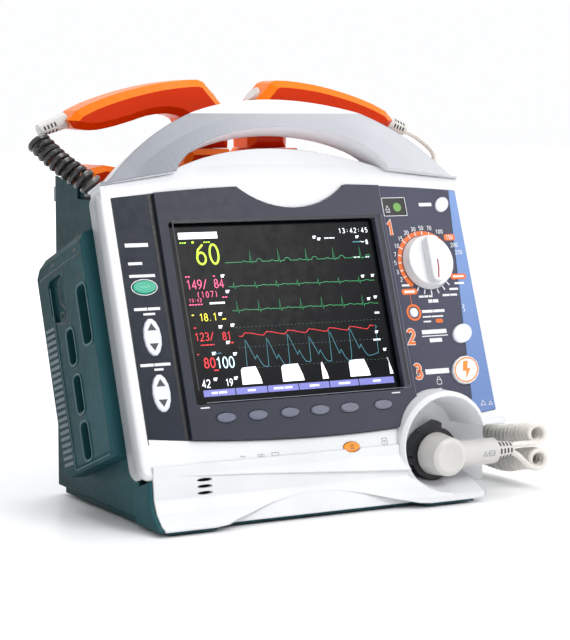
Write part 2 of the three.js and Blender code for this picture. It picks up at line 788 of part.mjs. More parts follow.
// The blue stripe widens downwards: its slanted left edge runs between these two places.
const STRIPE_EDGE = { top: 130.6, bottom: 114.5 };
const besideStripe = (way) => {
  const { top, bottom } = STRIPE_EDGE;
  const shift = (way * GAP) / 2;
  const far = way > 0 ? -10 : 200;
  return solid(
    frontProfile(
      polygon([
        [bottom + shift, -95],
        [top + shift, 95],
        [far, 95],
        [far, -95],
      ]),
      -10,
      10,
    ),
  );
};
const rightPlate = (x0, cutters) => panel(x0, PANEL_RIGHT - GAP, -0.4, PANEL_SEAT - GAP, RIGHT_KEYS, cutters);
put(face, "right_panel", rightPlate(BEZEL_RIGHT + GAP, [dialHole, lampHole, besideStripe(-1)]), SLATE);
put(face, "edge_stripe", rightPlate(105, [besideStripe(1)]), BLUE);
put(face, "indicator_window", frontProfile(roundRect(71.6, 62, 91, 75.3, 0.8), 0, PANEL_SEAT - GAP, 0, 2), GLASS);
put(face, "display_glass", frontProfile(roundRect(SCREEN_X - 79, -61, SCREEN_X + 79, 61, 2), 1.8, 3.4, 0, 3), GLASS);
put(face, "lcd_module", block(SCREEN_X - 78, 3.8, -60, SCREEN_X + 78, 13, 60), STEEL);

for (const key of [...LEFT_KEYS, ...BEZEL_KEYS, ...RIGHT_KEYS, ...CASE_KEYS]) {
  put(face, key.name, keyBody(key), key.paint);
}

// The energy selector turns on the shaft of its rotary switch.
function buildDial() {
  const skirt = barY(DIAL.x, DIAL.z, DIAL.radius - 1.6, DIAL.radius, -DIAL.skirt, -DIAL.lift - 0.4, 48);
  const grip = frontProfile(
    roundRect(DIAL.x - 5, DIAL.z - DIAL.radius + 3, DIAL.x + 5, DIAL.z + DIAL.radius - 3, 4),
    -DIAL.height,
    -6,
    0.8,
    4,
  );
  const socket = barY(DIAL.x, DIAL.z, DIAL.shaft + GAP, DIAL.shaft + GAP, -7, 2, 20);
  return cut(join(solid(skirt), solid(grip)), solid(socket));
}
put(face, "energy_dial", buildDial(), WHITE);
put(
  face,
  "rotary_switch",
  join(
    solid(barY(DIAL.x, DIAL.z, DIAL.shaft, DIAL.shaft, -6.5, 6, 20)),
    solid(block(DIAL.x - 11, 5.8, DIAL.z - 11, DIAL.x + 11, 16, DIAL.z + 11)),
  ),
  STEEL,
);

// ---------------------------------------------------------------- paddle connector
function buildSocketInsert() {
  return barY(SOCKET.x, SOCKET.z, 13.8, 13.8, -21, BOWL.back - GAP, 32);
}
put(defibrillator, "socket_insert", buildSocketInsert(), BLACK);

const RING_FRONT = -20.7;
function buildLockRing() {
  const { x, z, radius } = SOCKET;
  const ring = barY(x, z, radius, radius, RING_FRONT, -10, 40);
  const bore = barY(x, z, 14.5, 14.5, -30, 0, 32);
  const tab = block(x - 22.3, RING_FRONT, z - 6.5, x - 16, -13, z - 2);
  const lever = polygon([
    [x - 12, z + 12],
    [x - 12, z + 16.5],
    [x + 1.8, z + 22.8],
    [x + 5.3, z + 21],
    [x + 5.4, z + 15.6],
    [x - 2, z + 13],
  ]);
  return cut(join(solid(ring), solid(tab), solid(frontProfile(lever, RING_FRONT, -13))), solid(bore));
}
put(defibrillator, "lock_ring", buildLockRing(), BLACK);

function buildPlug() {
  const knob = barY(SOCKET.x, SOCKET.z, 13.2, 14.9, -39, -21.4, 40);
  const nose = barY(SOCKET.x, SOCKET.z, 10.5, 13.2, -40.5, -39, 40);
  const neck = new THREE.CylinderGeometry(9, 9.4, 42, 32).rotateZ(-Math.PI / 2).translate(SOCKET.x + 21, -30.5, SOCKET.z);
  const dish = new THREE.SphereGeometry(24, 32, 16).translate(SOCKET.x, -40.5 - 22, SOCKET.z);
  return cut(join(solid(knob), solid(nose), solid(neck)), solid(dish));
}
put(defibrillator, "plug_body", buildPlug(), WARM);
const RELIEF_END = { x: 145.5, y: -30.5, z: SOCKET.z };
put(
  defibrillator,
  "plug_relief",
  new THREE.CylinderGeometry(5, 6.6, RELIEF_END.x - 130.9, 24)
    .rotateZ(-Math.PI / 2)
    .translate((RELIEF_END.x + 130.9) / 2, RELIEF_END.y, RELIEF_END.z),
  WARM,
);

// ---------------------------------------------------------------- tray and paddles
const BASE = { inner: 6, outer: 121, halfY: 23.5 };
function buildTray() {
  const slab = solid(block(TRAY.x0, TRAY.y0, TRAY.z0, TRAY.x1, TRAY_BACK, TRAY.rim));
  const pockets = [-1, 1].map((side) => {
    const inner = PADDLE_MID_X + side * (BASE.inner - 1.2);
    const outer = PADDLE_MID_X + side * (BASE.outer + 1.2);
    const outline = roundRect(
      Math.min(inner, outer),
      PADDLE_Y - BASE.halfY - 1.2,
      Math.max(inner, outer),
      PADDLE_Y + BASE.halfY + 1.2,
      3,
    );
    return solid(planProfile(outline, TRAY.floor, 240, 0, 4));
  });
  return cut(slab, ...pockets);
}
put(defibrillator, "paddle_tray", buildTray(), GREY);
for (const [name, side] of [["test_plate_left", -1], ["test_plate_right", 1]]) {
  const x = PADDLE_MID_X + side * 63;
  put(defibrillator, name, planProfile(roundRect(x - 30, PADDLE_Y - 16, x + 30, PADDLE_Y + 16, 5), TRAY.floor + GAP, 208.6, 0, 3), STEEL);
}

// Outline of a paddle's handle in (outward distance, height).
const GRIP = { halfY: 15.5, facet: 5 };
const GRIP_TOP = [
  [34, 288.2],
  [60, 285.6],
  [86, 280],
  [109, 272.8],
  [123, 266.5],
];
const GRIP_UNDERSIDE = [
  [112, 253.2],
  [98, 255.4],
  [83, 259.4],
  [70, 263.2],
  [56, 264.6],
  [44, 262],
  [39.5, 255],
];
function gripOutline() {
  const points = (list) => list.map(([x, z]) => new THREE.Vector2(x, z));
  const shape = new THREE.Shape();
  shape.moveTo(8, 240);
  shape.lineTo(7.5, 261);
  shape.lineTo(11.5, 269.5);
  shape.lineTo(26.5, 286);
  shape.splineThru(points(GRIP_TOP));
  shape.lineTo(129, 260);
  shape.lineTo(125, 254.6);
  shape.splineThru(points(GRIP_UNDERSIDE));
  shape.lineTo(39, 240);
  return shape;
}

function paddle(side, sideName) {
  const group = new THREE.Group();
  group.position.set(PADDLE_MID_X, 0, 0);
  group.scale.x = side;
  defibrillator.add(group);

  put(group, `${sideName}_paddle_base`, baseDome(), ORANGE);
  const handle = cut(
    solid(frontProfile(gripOutline(), PADDLE_Y - GRIP.halfY, PADDLE_Y + GRIP.halfY, GRIP.facet, 2)),
    solid(block(0, 0, 200, 140, 200, 240.6)),
    buttonSolid(0.4, BUTTON.travel),
    solid(reliefShape(0.4)),
  );
  put(group, `${sideName}_paddle_grip`, handle, ORANGE);
  put(group, `${sideName}_paddle_button`, buttonSolid(0), WARM);
  put(
    group,
    `${sideName}_paddle_electrode`,
    planProfile(roundRect(BASE.inner + 5, PADDLE_Y - 20, BASE.outer - 5, PADDLE_Y + 20, 9), PADDLE_BASE_Z, PADDLE_BASE_Z + 2.2, 0, 5),
    STEEL,
  );
  put(group, `${sideName}_paddle_relief`, reliefShape(0), WARM);
}

// Strain relief that leaves the outer end of the grip, pointing slightly down.
const RELIEF = { length: 21, droop: 0.36, x: 136, z: 256.5 };
function reliefShape(grow) {
  return new THREE.CylinderGeometry(4.2 + grow, 5.6 + grow, RELIEF.length, 20)
    .rotateZ(-Math.PI / 2)
    .rotateY(RELIEF.droop)
    .translate(RELIEF.x, PADDLE_Y, RELIEF.z);
}

// The base is a shallow dome over the electrode, higher under the handle's neck.
function baseDome() {
  const low = PADDLE_BASE_Z + 2.5;
  const outline = new THREE.Shape();
  outline.moveTo(BASE.inner, low);
  outline.lineTo(BASE.outer, low);
  outline.lineTo(BASE.outer, 221);
  outline.lineTo(BASE.outer - 4, 227.5);
  outline.lineTo(BASE.outer - 14, 230);
  outline.lineTo(BASE.outer - 26, 228);
  outline.lineTo(74, 225.2);
  outline.lineTo(56, 226.5);
  outline.lineTo(47, 231);
  outline.lineTo(43, 240.3);
  outline.lineTo(12, 240.3);
  outline.lineTo(BASE.inner, 232);
  const body = solid(frontProfile(outline, PADDLE_Y - BASE.halfY, PADDLE_Y + BASE.halfY, 4, 6));
  const flat = solid(block(-10, 0, 190, 140, 200, low));
  return cut(body, flat);
}

// Round discharge button on the slope at the thumb's end of the handle. Its well is deeper by the travel.
const BUTTON = { radius: 6.5, length: 9, lean: -0.82, x: 20.2, z: 275.6, travel: 2.2 };
function buttonSolid(grow, travel = 0) {
  const length = BUTTON.length + 2 * grow + travel;
  const cap = new THREE.CylinderGeometry(BUTTON.radius + grow, BUTTON.radius + grow, length, 24)
    .rotateX(Math.PI / 2)
    .translate(0, 0, -travel / 2)
    .rotateY(BUTTON.lean)
    .translate(BUTTON.x, PADDLE_Y, BUTTON.z);
  return solid(cap);
}
paddle(-1, "left");
paddle(1, "right");

// ---------------------------------------------------------------- pieces inside and at the back
put(
  defibrillator,
  "main_board",
  block(-105, 56, 60, 70, 58, 186),
  BOARD,
);
put(defibrillator, "high_voltage_board", block(-120, 74, 100, -20, 76, 180), BOARD);
put(
  defibrillator,
  "hv_capacitor",
  new THREE.CylinderGeometry(22, 22, 84, 28).rotateZ(Math.PI / 2).translate(-74, 84, 76),
  STEEL,
);
put(defibrillator, "speaker", barY(SPEAKER.x, SPEAKER.z - 1, 9, 7.5, -31, -23, 24), BLACK);

function buildBattery() {
  const pack = block(20, 62, 20, 110, REAR_Y + 0.6, 90);
  const grip = block(35, REAR_Y - 4, 48, 95, REAR_Y + 5, 62);
  return cut(solid(pack), solid(grip));
}
put(defibrillator, "battery_pack", buildBattery(), RUBBER);

function buildInlet() {
  const body = block(-113, REAR_Y - 20, 25, -81, REAR_Y + 0.8, 49);
  const mouth = block(-109, REAR_Y - 14, 29, -85, REAR_Y + 5, 45);
  return cut(solid(body), solid(mouth));
}
put(defibrillator, "mains_inlet", buildInlet(), BLACK);

// ---------------------------------------------------------------- cords
// Each paddle has one curly cord. A fat tube stands for its coils and thin tubes for its straight ends.
function tube(points, diameter, sides, steps) {
  const section = new THREE.Shape();
  for (let i = 0; i < sides; i += 1) {
    const turn = (2 * Math.PI * i) / sides;
    const x = (diameter / 2) * Math.cos(turn);
    const y = (diameter / 2) * Math.sin(turn);
    if (i === 0) section.moveTo(x, y);
    else section.lineTo(x, y);
  }
  const path = new THREE.CatmullRomCurve3(points.map(([x, y, z]) => new THREE.Vector3(x, y, z)));
  return new THREE.ExtrudeGeometry(section, { steps, extrudePath: path, bevelEnabled: false });
}

const LEFT_CORD = [
  [-160.8, 95.6, 244],
  [-151, 80, 232.6],
  [-142, 69, 225],
  [-134, 62.4, 219],
  [-124, 61.2, 210.5],
  [-108, 61.6, 205],
  [-80, 61.9, 203.9],
  [0, 61.9, 203.9],
  [80, 61.9, 203.9],
  [126, 61.9, 204.2],
  [140, 61.9, 204.2],
  [149.5, 61.9, 197.5],
  [153.8, 61.9, 184],
  [154.5, 62, 150],
  [154.5, 61, 108],
  [156.5, 57, 74],
  [161.5, 47, 50],
  [166, 31, 37],
  [168, 10, 33.5],
  [168, -12, 36.8],
  [168, -29.5, 39.5],
];
const RIGHT_CORD = [
  [158.5, 88, 228],
  [157.5, 88, 190],
  [155.5, 88, 140],
  [155.5, 86.5, 92],
  [158, 79, 55],
  [163.5, 61, 28],
  [168, 36, 17],
  [169, 8, 14.5],
  [169, -12, 17.5],
  [169, -29.5, 21.3],
];
const LEFT_LEAD = [
  [146.4, -30.5, 32.7],
  [151, -31.2, 33.2],
  [158, -32.6, 33.3],
  [168, -32.6, 33.3],
];
const RIGHT_LEAD = [
  [146.6, -30.5, 28],
  [151, -31.3, 26.4],
  [156.5, -32.9, 21.8],
  [162, -33.2, 16.8],
  [169, -32.9, 15],
];
const RIGHT_PADDLE_LEAD = [
  [137.4, 97, 252.5],
  [146.5, 96, 248],
  [154.5, 92.5, 241.5],
  [158.3, 89, 235],
  [158.5, 88, 229],
];
put(defibrillator, "left_cord", tube(LEFT_CORD, COIL, 10, 34), CORD);
put(defibrillator, "right_cord", tube(RIGHT_CORD, COIL, 10, 22), CORD);
put(defibrillator, "left_lead", tube(LEFT_LEAD, LEAD, 8, 7), CORD);
put(defibrillator, "right_lead", tube(RIGHT_LEAD, LEAD, 8, 8), CORD);
put(defibrillator, "right_paddle_lead", tube(RIGHT_PADDLE_LEAD, LEAD, 8, 9), CORD);

export default defibrillator;
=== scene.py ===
"""Looks of the defibrillator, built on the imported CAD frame. Lengths are in metres."""
import math

import bmesh
import bpy
from mathutils import Matrix, Vector


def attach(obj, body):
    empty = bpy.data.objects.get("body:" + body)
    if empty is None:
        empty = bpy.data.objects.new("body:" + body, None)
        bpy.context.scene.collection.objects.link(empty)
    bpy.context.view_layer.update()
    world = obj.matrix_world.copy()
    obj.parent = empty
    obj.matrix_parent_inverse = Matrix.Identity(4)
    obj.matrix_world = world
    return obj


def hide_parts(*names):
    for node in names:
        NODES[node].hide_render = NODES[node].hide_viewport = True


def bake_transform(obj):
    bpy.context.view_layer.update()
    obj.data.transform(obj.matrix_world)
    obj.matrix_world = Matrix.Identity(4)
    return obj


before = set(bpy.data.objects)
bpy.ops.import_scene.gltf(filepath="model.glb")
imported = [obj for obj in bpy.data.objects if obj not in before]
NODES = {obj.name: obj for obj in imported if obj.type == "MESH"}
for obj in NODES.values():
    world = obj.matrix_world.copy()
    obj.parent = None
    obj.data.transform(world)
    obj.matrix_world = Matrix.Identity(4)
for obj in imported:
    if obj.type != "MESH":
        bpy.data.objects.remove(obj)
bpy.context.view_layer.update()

MM = 0.001

# ---------------- places
# The machine's pieces were laid out about a point behind the screen; SHIFT brings that layout to
# the record's frame. The face leans back by TILT about a horizontal axis through the screen's centre.
SHIFT = Vector((4.1, -35.5, 0.0))
TILT = math.radians(19.5)
FACE_Z = 134.6
FACE = (
    Matrix.Translation((SHIFT + Vector((0.0, 0.0, FACE_Z))) * MM)
    @ Matrix.Rotation(-TILT, 4, "X")
    @ Matrix.Scale(MM, 4)
)
SCREEN = Vector((-17.7, 0.0, 0.0))
DIAL = Vector((99.4, 0.0, 27.3))


def place(x, y, z):
    """A point of the layout, in mm, as a point of the frame in metres."""
    return (Vector((x, y, z)) + SHIFT) * MM


# ---------------- materials
def map_range(tree, value, low, high, to_low=0.0, to_high=1.0):
    """A number that goes from to_low to to_high as value goes from low to high."""
    node = tree.nodes.new("ShaderNodeMapRange")
    ends = {"From Min": low, "From Max": high, "To Min": to_low, "To Max": to_high}
    for key, end in ends.items():
        node.inputs[key].default_value = end
    tree.links.new(value, node.inputs["Value"])
    return node.outputs["Result"]


class Graph:
    """A material's node tree with short calls for the nodes that this script uses."""

    def __init__(self, name):
        self.material = bpy.data.materials.new(name)
        self.material.use_nodes = True
        self.tree = self.material.node_tree
        self.shader = self.tree.nodes["Principled BSDF"]
        self.place = self.node("ShaderNodeTexCoord").outputs["Object"]

    def node(self, kind, inputs=None, **settings):
        node = self.tree.nodes.new(kind)
        for key, value in settings.items():
            setattr(node, key, value)
        for key, value in (inputs or {}).items():
            node.inputs[key].default_value = value
        return node

    def link(self, output, target):
        self.tree.links.new(output, target)

    def noise(self, scale, detail):
        node = self.node("ShaderNodeTexNoise", {"Scale": scale, "Detail": detail})
        self.link(self.place, node.inputs["Vector"])
        return node.outputs["Fac"]

    def ramp(self, factor, stops):
        node = self.node("ShaderNodeValToRGB")
        elements = node.color_ramp.elements
        while len(elements) < len(stops):
            elements.new(0.5)
        for element, (position, colour) in zip(elements, stops):
            element.position = position
            element.color = (*colour, 1)
        self.link(factor, node.inputs["Fac"])
        return node.outputs["Color"]

    def spread(self, factor, low, high):
        """A noise's middle values, spread from low to high."""
        return map_range(self.tree, factor, 0.3, 0.7, low, high)

    def bump(self, height, distance, strength, normal=None):
        node = self.node("ShaderNodeBump", {"Strength": strength, "Distance": distance})
        self.link(height, node.inputs["Height"])
        if normal is not None:
            self.link(normal, node.inputs["Normal"])
        return node.outputs["Normal"]

    def along(self, axis, low, high):
        """0 to 1 between two places, in metres, on one of the object's axes."""
        split = self.node("ShaderNodeSeparateXYZ")
        self.link(self.place, split.inputs["Vector"])
        return map_range(self.tree, split.outputs[axis], low, high)

    def mixed(self, factor, first, second):
        node = self.node("ShaderNodeMix", data_type="RGBA")
        self.link(factor, node.inputs["Factor"])
        colours = [socket for socket in node.inputs if socket.type == "RGBA"]
        self.link(first, colours[0])
        self.link(second, colours[1])
        return next(socket for socket in node.outputs if socket.type == "RGBA")

    def facing(self, direction, low, high):
        """0 to 1 as the surface turns towards a direction: the cosines where it starts and ends."""
        dot = self.node("ShaderNodeVectorMath", {1: direction}, operation="DOT_PRODUCT")
        self.link(self.node("ShaderNodeNewGeometry").outputs["Normal"], dot.inputs[0])
        return map_range(self.tree, dot.outputs["Value"], low, high)

    def times(self, first, second):
        node = self.node("ShaderNodeMath", operation="MULTIPLY")
        self.link(first, node.inputs[0])
        self.link(second, node.inputs[1])
        return node.outputs["Value"]

    def clouded(self, colour, drift):
        """A colour that drifts a little lighter and darker."""
        stops = [(0.3, tint(colour, 1 - drift)), (0.7, tint(colour, 1 + drift))]
        return self.ramp(self.noise(14.0, 4.0), stops)

    def soft_edge(self, radius):
        return self.node("ShaderNodeBevel", {"Radius": radius}, samples=6).outputs["Normal"]

    def to(self, socket, output):
        self.link(output, self.shader.inputs[socket])

    def set(self, **values):
        for key, value in values.items():
            self.shader.inputs[key.replace("_", " ")].default_value = value


def tint(colour, factor):
    return tuple(min(1.0, channel * factor) for channel in colour)


def plastic(
    name, colour, roughness, edge=0.8, grain=2600.0, depth=0.03, coat=0.0, drift=0.05,
    painted_light_fade=None, painted_shade=None, shine=0.45,
):
    """Moulded plastic: spark-eroded grain, slow drift of colour and gloss, softened edges.

    edge is the radius of its edges and depth the height of its grain, both in mm.
    painted_light_fade = (axis, from, to, other colour) paints light and shade as a slow turn of the colour
    into another along an axis.
    painted_shade = (direction, low, high, other colour, reach) paints shade the same way as the surface
    turns towards a direction, and less and less from the second to the first place of reach along X.
    """
    graph = Graph(name)
    base = graph.clouded(colour, drift)
    # Painted shade: the other colour where the surface turns towards the direction.
    if painted_shade:
        direction, low, high, other, reach = painted_shade
        painted_shade_mask = graph.facing(direction, low, high)
        if reach:
            painted_shade_mask = graph.times(painted_shade_mask, graph.along("X", *reach))
        base = graph.mixed(painted_shade_mask, base, graph.clouded(other, drift))
    # Painted light and shade: the other colour along an axis.
    if painted_light_fade:
        axis, low, high, other = painted_light_fade
        base = graph.mixed(graph.along(axis, low, high), base, graph.clouded(other, drift))
    graph.to("Base Color", base)
    graph.to("Roughness", graph.spread(graph.noise(160.0, 5.0), roughness - 0.06, roughness + 0.06))
    normal = graph.soft_edge(edge * MM) if edge else None
    graph.to("Normal", graph.bump(graph.noise(grain, 2.0), depth * MM, 0.6, normal))
    graph.set(Coat_Weight=coat, Coat_Roughness=0.15, Specular_IOR_Level=shine)
    return graph.material


def metal(name, colour, roughness):
    """Brushed metal: fine scratches drawn out along the machine's length."""
    graph = Graph(name)
    stretch = graph.node("ShaderNodeMapping", {"Scale": (12, 900, 900)})
    graph.link(graph.place, stretch.inputs["Vector"])
    lines = graph.node("ShaderNodeTexNoise", {"Scale": 3.0})
    graph.link(stretch.outputs["Vector"], lines.inputs["Vector"])
    graph.to("Base Color", graph.ramp(lines.outputs["Fac"], [(0.3, tint(colour, 0.85)), (0.7, colour)]))
    graph.to("Roughness", graph.spread(lines.outputs["Fac"], roughness - 0.08, roughness + 0.1))
    graph.to("Normal", graph.bump(lines.outputs["Fac"], 0.02 * MM, 0.5))
    graph.set(Metallic=1.0)
    return graph.material


def glow(name, colour, strength):
    """A lit stretch of the display, with the faint unevenness of its backlight."""
    graph = Graph(name)
    cloud = graph.noise(60.0, 2.0)
    lit = graph.ramp(cloud, [(0.2, tint(colour, 0.86)), (0.8, colour)])
    graph.to("Base Color", lit)
    graph.to("Emission Color", lit)
    graph.set(Emission_Strength=strength, Roughness=0.35)
    return graph.material


def ink(name, colour):
    """Screen-printed ink: faintly mottled, a little glossier than the plastic under it."""
    graph = Graph(name)
    graph.to("Base Color", graph.ramp(graph.noise(900.0, 2.0), [(0.3, tint(colour, 0.9)), (0.7, colour)]))
    graph.to("Roughness", graph.spread(graph.noise(500.0, 2.0), 0.38, 0.5))
    return graph.material


SHADED_CORD_ENDS = (-0.135, -0.095)  # painted shade: the darker colour gives way to the cord's own pale one between these


def jacket(name, colour, roughness, shaded_colour=None):
    """Cord jacket: slightly uneven satin rubber, with a painted shade of the darker colour near the
    machine's left end.
    """
    graph = Graph(name)
    base = graph.clouded(colour, 0.1)
    if shaded_colour:
        base = graph.mixed(graph.along("X", *SHADED_CORD_ENDS), graph.clouded(shaded_colour, 0.12), base)
    graph.to("Base Color", base)
    graph.to("Roughness", graph.spread(graph.noise(300.0, 3.0), roughness - 0.08, roughness + 0.08))
    graph.to("Normal", graph.bump(graph.noise(1500.0, 2.0), 0.03 * MM, 0.5))
    graph.set(Coat_Weight=0.15, Coat_Roughness=0.3)
    return graph.material


FORWARDS = (0.0, -math.cos(TILT), math.sin(TILT))
UNDERNEATH = (0.0, -0.75, -0.66)  # forwards and down, where the paddles get a painted red shade
# Painted shade: grey on the case's far left end, turning to its white towards the right.
WHITE = plastic(
    "white_case", (0.19, 0.205, 0.22), 0.36, edge=1.6, painted_light_fade=("X", -0.1418, -0.1345, (0.77, 0.78, 0.80))
)
# Painted shade: grey where the handle's front faces forwards, fading out towards the right.
HANDLE = plastic(
    "handle_white", (0.74, 0.75, 0.79), 0.36, edge=1.6,
    painted_shade=(FORWARDS, 0.86, 0.99, (0.23, 0.245, 0.28), (0.24, -0.1)),
)
# Painted shade: the teal darker towards the back.
TEAL = plastic(
    "teal_case", (0.016, 0.075, 0.088), 0.5, edge=1.2, depth=0.08, grain=1400, drift=0.14,
    painted_light_fade=("Y", -0.035, 0.07, (0.005, 0.034, 0.04)), shine=0.12,
)
# Painted reflection: the dark panels lighter towards the right.
SLATE = plastic(
    "slate_panel", (0.008, 0.013, 0.024), 0.42, edge=0.4,
    painted_light_fade=("X", -0.13, 0.1, (0.066, 0.069, 0.105)), shine=0.2,
)
# Painted reflection: the bezel lighter towards the right.
CHARCOAL = plastic(
    "charcoal_panel", (0.026, 0.031, 0.046), 0.42, edge=0.6,
    painted_light_fade=("X", -0.1, 0.07, (0.052, 0.052, 0.078)), shine=0.22,
)
# Painted shade: the stripe darker towards the bottom.
BLUE = plastic(
    "blue_stripe", (0.135, 0.225, 0.47), 0.42, edge=0.3, painted_light_fade=("Z", 0.07, 0.22, (0.19, 0.31, 0.62))
)
# Painted shade: red-orange on faces turned forwards and down, bright orange on the top.
ORANGE = plastic(
    "orange_paddle", (0.93, 0.19, 0.006), 0.3, edge=0.5, grain=1800, depth=0.02, coat=0.1, drift=0.07,
    painted_shade=(UNDERNEATH, 0.25, 0.7, (0.58, 0.028, 0.0), None), shine=0.1,
)
BLACK = plastic("black_plastic", (0.008, 0.009, 0.011), 0.36, edge=0.5)
SCREEN_GLASS = plastic("screen_glass", (0.002, 0.0025, 0.004), 0.2, edge=0.0, depth=0.0, shine=0.1)
RUBBER = plastic("black_rubber", (0.012, 0.012, 0.013), 0.8, edge=0.5, depth=0.1)
GREEN = plastic("green_key", (0.006, 0.36, 0.22), 0.38, edge=0.6, coat=0.2)
PALE = plastic("pale_key", (0.72, 0.74, 0.82), 0.38, edge=0.6)
# Painted reflection: the soft keys lighter towards the right.
SOFT_KEY = plastic(
    "blue_key", (0.10, 0.115, 0.175), 0.3, edge=0.8, painted_light_fade=("X", -0.08, 0.05, (0.155, 0.16, 0.205))
)
AMBER = plastic("amber_key", (0.90, 0.30, 0.01), 0.38, edge=0.6, coat=0.2)
WARM = plastic("warm_grey_plastic", (0.62, 0.605, 0.585), 0.36, edge=1.0)
TRAY = plastic("grey_tray", (0.30, 0.34, 0.37), 0.5, edge=1.0)
BOARD = plastic("circuit_board", (0.01, 0.09, 0.035), 0.35, edge=0.0)
STEEL = metal("steel", (0.58, 0.6, 0.62), 0.3)
CORD = jacket("cord_jacket", (0.74, 0.705, 0.66), 0.36)
RIB = plastic("pod_rib", (0.10, 0.145, 0.17), 0.45, edge=0.3, shine=0.35)
POD_EDGE = plastic("pod_edge", (0.03, 0.10, 0.112), 0.4, edge=0.3, shine=0.35)
# Painted shade: the dark inside of the strain reliefs' slots.
SLOT = plastic("relief_slot", (0.035, 0.028, 0.024), 0.6, edge=0.0)
# Painted shade: the left cord darker near the machine's left end.
LEFT_JACKET = jacket("left_cord_jacket", (0.74, 0.705, 0.66), 0.27, shaded_colour=(0.022, 0.022, 0.022))
WHITE_INK = ink("white_ink", (0.8, 0.81, 0.84))
ORANGE_INK = ink("orange_ink", (0.82, 0.16, 0.02))
PALE_INK = ink("pale_ink", (0.86, 0.8, 0.76))
GREY_INK = ink("grey_ink", (0.3, 0.32, 0.36))
DARK_INK = ink("dark_ink", (0.03, 0.036, 0.05))


def paddle_nodes(*parts):
    return [f"{side}_paddle_{part}" for side in ("left", "right") for part in parts]


FINISHES = {
    HANDLE: ["carry_handle"],
    WHITE: ["front_case", "shock_key", "energy_dial", "child_mode_key"],
    TEAL: ["rear_case", "base_pan", "connector_pod"],
    SLATE: ["left_panel", "right_panel"],
    CHARCOAL: ["display_bezel"],
    BLUE: ["edge_stripe"],
    ORANGE: paddle_nodes("base", "grip"),
    BLACK: ["socket_insert", "lock_ring", "speaker", "mains_inlet", "indicator_window"],
    SCREEN_GLASS: ["display_glass"],
    RUBBER: ["battery_pack", "foot_front_left", "foot_front_right", "foot_rear_left", "foot_rear_right"],
    GREEN: ["start_stop_key"],
    PALE: ["rate_rocker", "output_rocker", "sync_key", "charge_key"],
    SOFT_KEY: [f"soft_key_{i}" for i in range(1, 7)],
    AMBER: ["event_key"],
    WARM: ["plug_body", "plug_relief", *paddle_nodes("button", "relief")],
    TRAY: ["paddle_tray"],
    BOARD: ["main_board", "high_voltage_board"],
    STEEL: [
        "lcd_module", "rotary_switch", "test_plate_left", "test_plate_right", "hv_capacitor",
        *paddle_nodes("electrode"),
    ],
}


def paint(piece, material):
    piece.data.materials.clear()
    piece.data.materials.append(material)


for material, names in FINISHES.items():
    for name in names:
        paint(NODES[name], material)


# ---------------- camera, floor and light
CAMERA_PLACE = Vector((-0.6593, -1.1814, 0.2617))  # the photograph's viewpoint
CAMERA_AIM = Vector((0.4875, 0.867, -0.102))
FLOOR_HALF = 12.0
FLOOR_GLOW = (0.5, 2.2, 0.0, 0.6)  # distances where its glow starts and ends growing, least, most
STUDIO_BRIGHT_SIDE = (0.78, 0.42, 0.46)
STUDIO_LEVELS = (-0.7, 0.35, 0.16, 1.0)  # cosines to it where the light changes, least, most


def add_camera():
    data = bpy.data.cameras.new("camera")
    data.lens = 110.9
    data.sensor_width = 36.0
    camera = bpy.data.objects.new("camera", data)
    camera.location = CAMERA_PLACE
    camera.rotation_euler = CAMERA_AIM.to_track_quat("-Z", "Y").to_euler()
    bpy.context.scene.collection.objects.link(camera)
    bpy.context.scene.camera = camera


def add_light(name, place_at, aim, size, power, colour):
    data = bpy.data.lights.new(name, "AREA")
    data.shape = "SQUARE"
    data.size = size
    data.energy = power
    data.color = colour
    light = bpy.data.objects.new(name, data)
    light.location = place_at
    light.rotation_euler = (Vector(aim) - Vector(place_at)).to_track_quat("-Z", "Y").to_euler()
    bpy.context.scene.collection.objects.link(light)


def add_floor():
    """A pale satin floor that glows far away, so that it has no horizon."""
    mesh = bpy.data.meshes.new("floor")
    corners = [(x * FLOOR_HALF, y * FLOOR_HALF, 0) for x, y in ((-1, -1), (1, -1), (1, 1), (-1, 1))]
    mesh.from_pydata(corners, [], [(0, 1, 2, 3)])
    floor = bpy.data.objects.new("floor", mesh)
    bpy.context.scene.collection.objects.link(floor)
    graph = Graph("floor")
    graph.set(
        Base_Color=(0.93, 0.935, 0.945, 1), Roughness=0.3, Specular_IOR_Level=0.06,
        Emission_Color=(1, 1, 1, 1),
    )
    away = graph.node("ShaderNodeVectorMath", operation="LENGTH")
    graph.link(graph.place, away.inputs[0])
    graph.to("Emission Strength", map_range(graph.tree, away.outputs["Value"], *FLOOR_GLOW))
    mesh.materials.append(graph.material)


def add_world():
    """A white studio that is darker towards the machine's left, where the room is unlit."""
    world = bpy.data.worlds.new("studio")
    world.use_nodes = True
    tree = world.node_tree
    towards = tree.nodes.new("ShaderNodeTexCoord").outputs["Generated"]
    facing = tree.nodes.new("ShaderNodeVectorMath")
    facing.operation = "DOT_PRODUCT"
    facing.inputs[1].default_value = STUDIO_BRIGHT_SIDE
    tree.links.new(towards, facing.inputs[0])
    level = map_range(tree, facing.outputs["Value"], *STUDIO_LEVELS)
    background = tree.nodes["Background"]
    background.inputs["Color"].default_value = (0.985, 0.99, 1.0, 1)
    tree.links.new(level, background.inputs["Strength"])
    bpy.context.scene.world = world


bpy.context.scene.view_settings.view_transform = "Standard"
add_camera()
add_floor()
add_world()
add_light("key", (0.5, -1.3, 1.3), (0, 0, 0.1), 0.9, 13.5, (1.0, 0.99, 0.97))
add_light("fill", (-1.0, -1.1, 0.8), (0, 0, 0.15), 1.0, 3.2, (0.95, 0.97, 1.0))
add_light("top", (0.1, 0.5, 1.6), (0, 0, 0.2), 1.0, 11, (1.0, 1.0, 1.0))


# ---------------- meshes and prints
SMOOTH_UP_TO = math.radians(40.0)


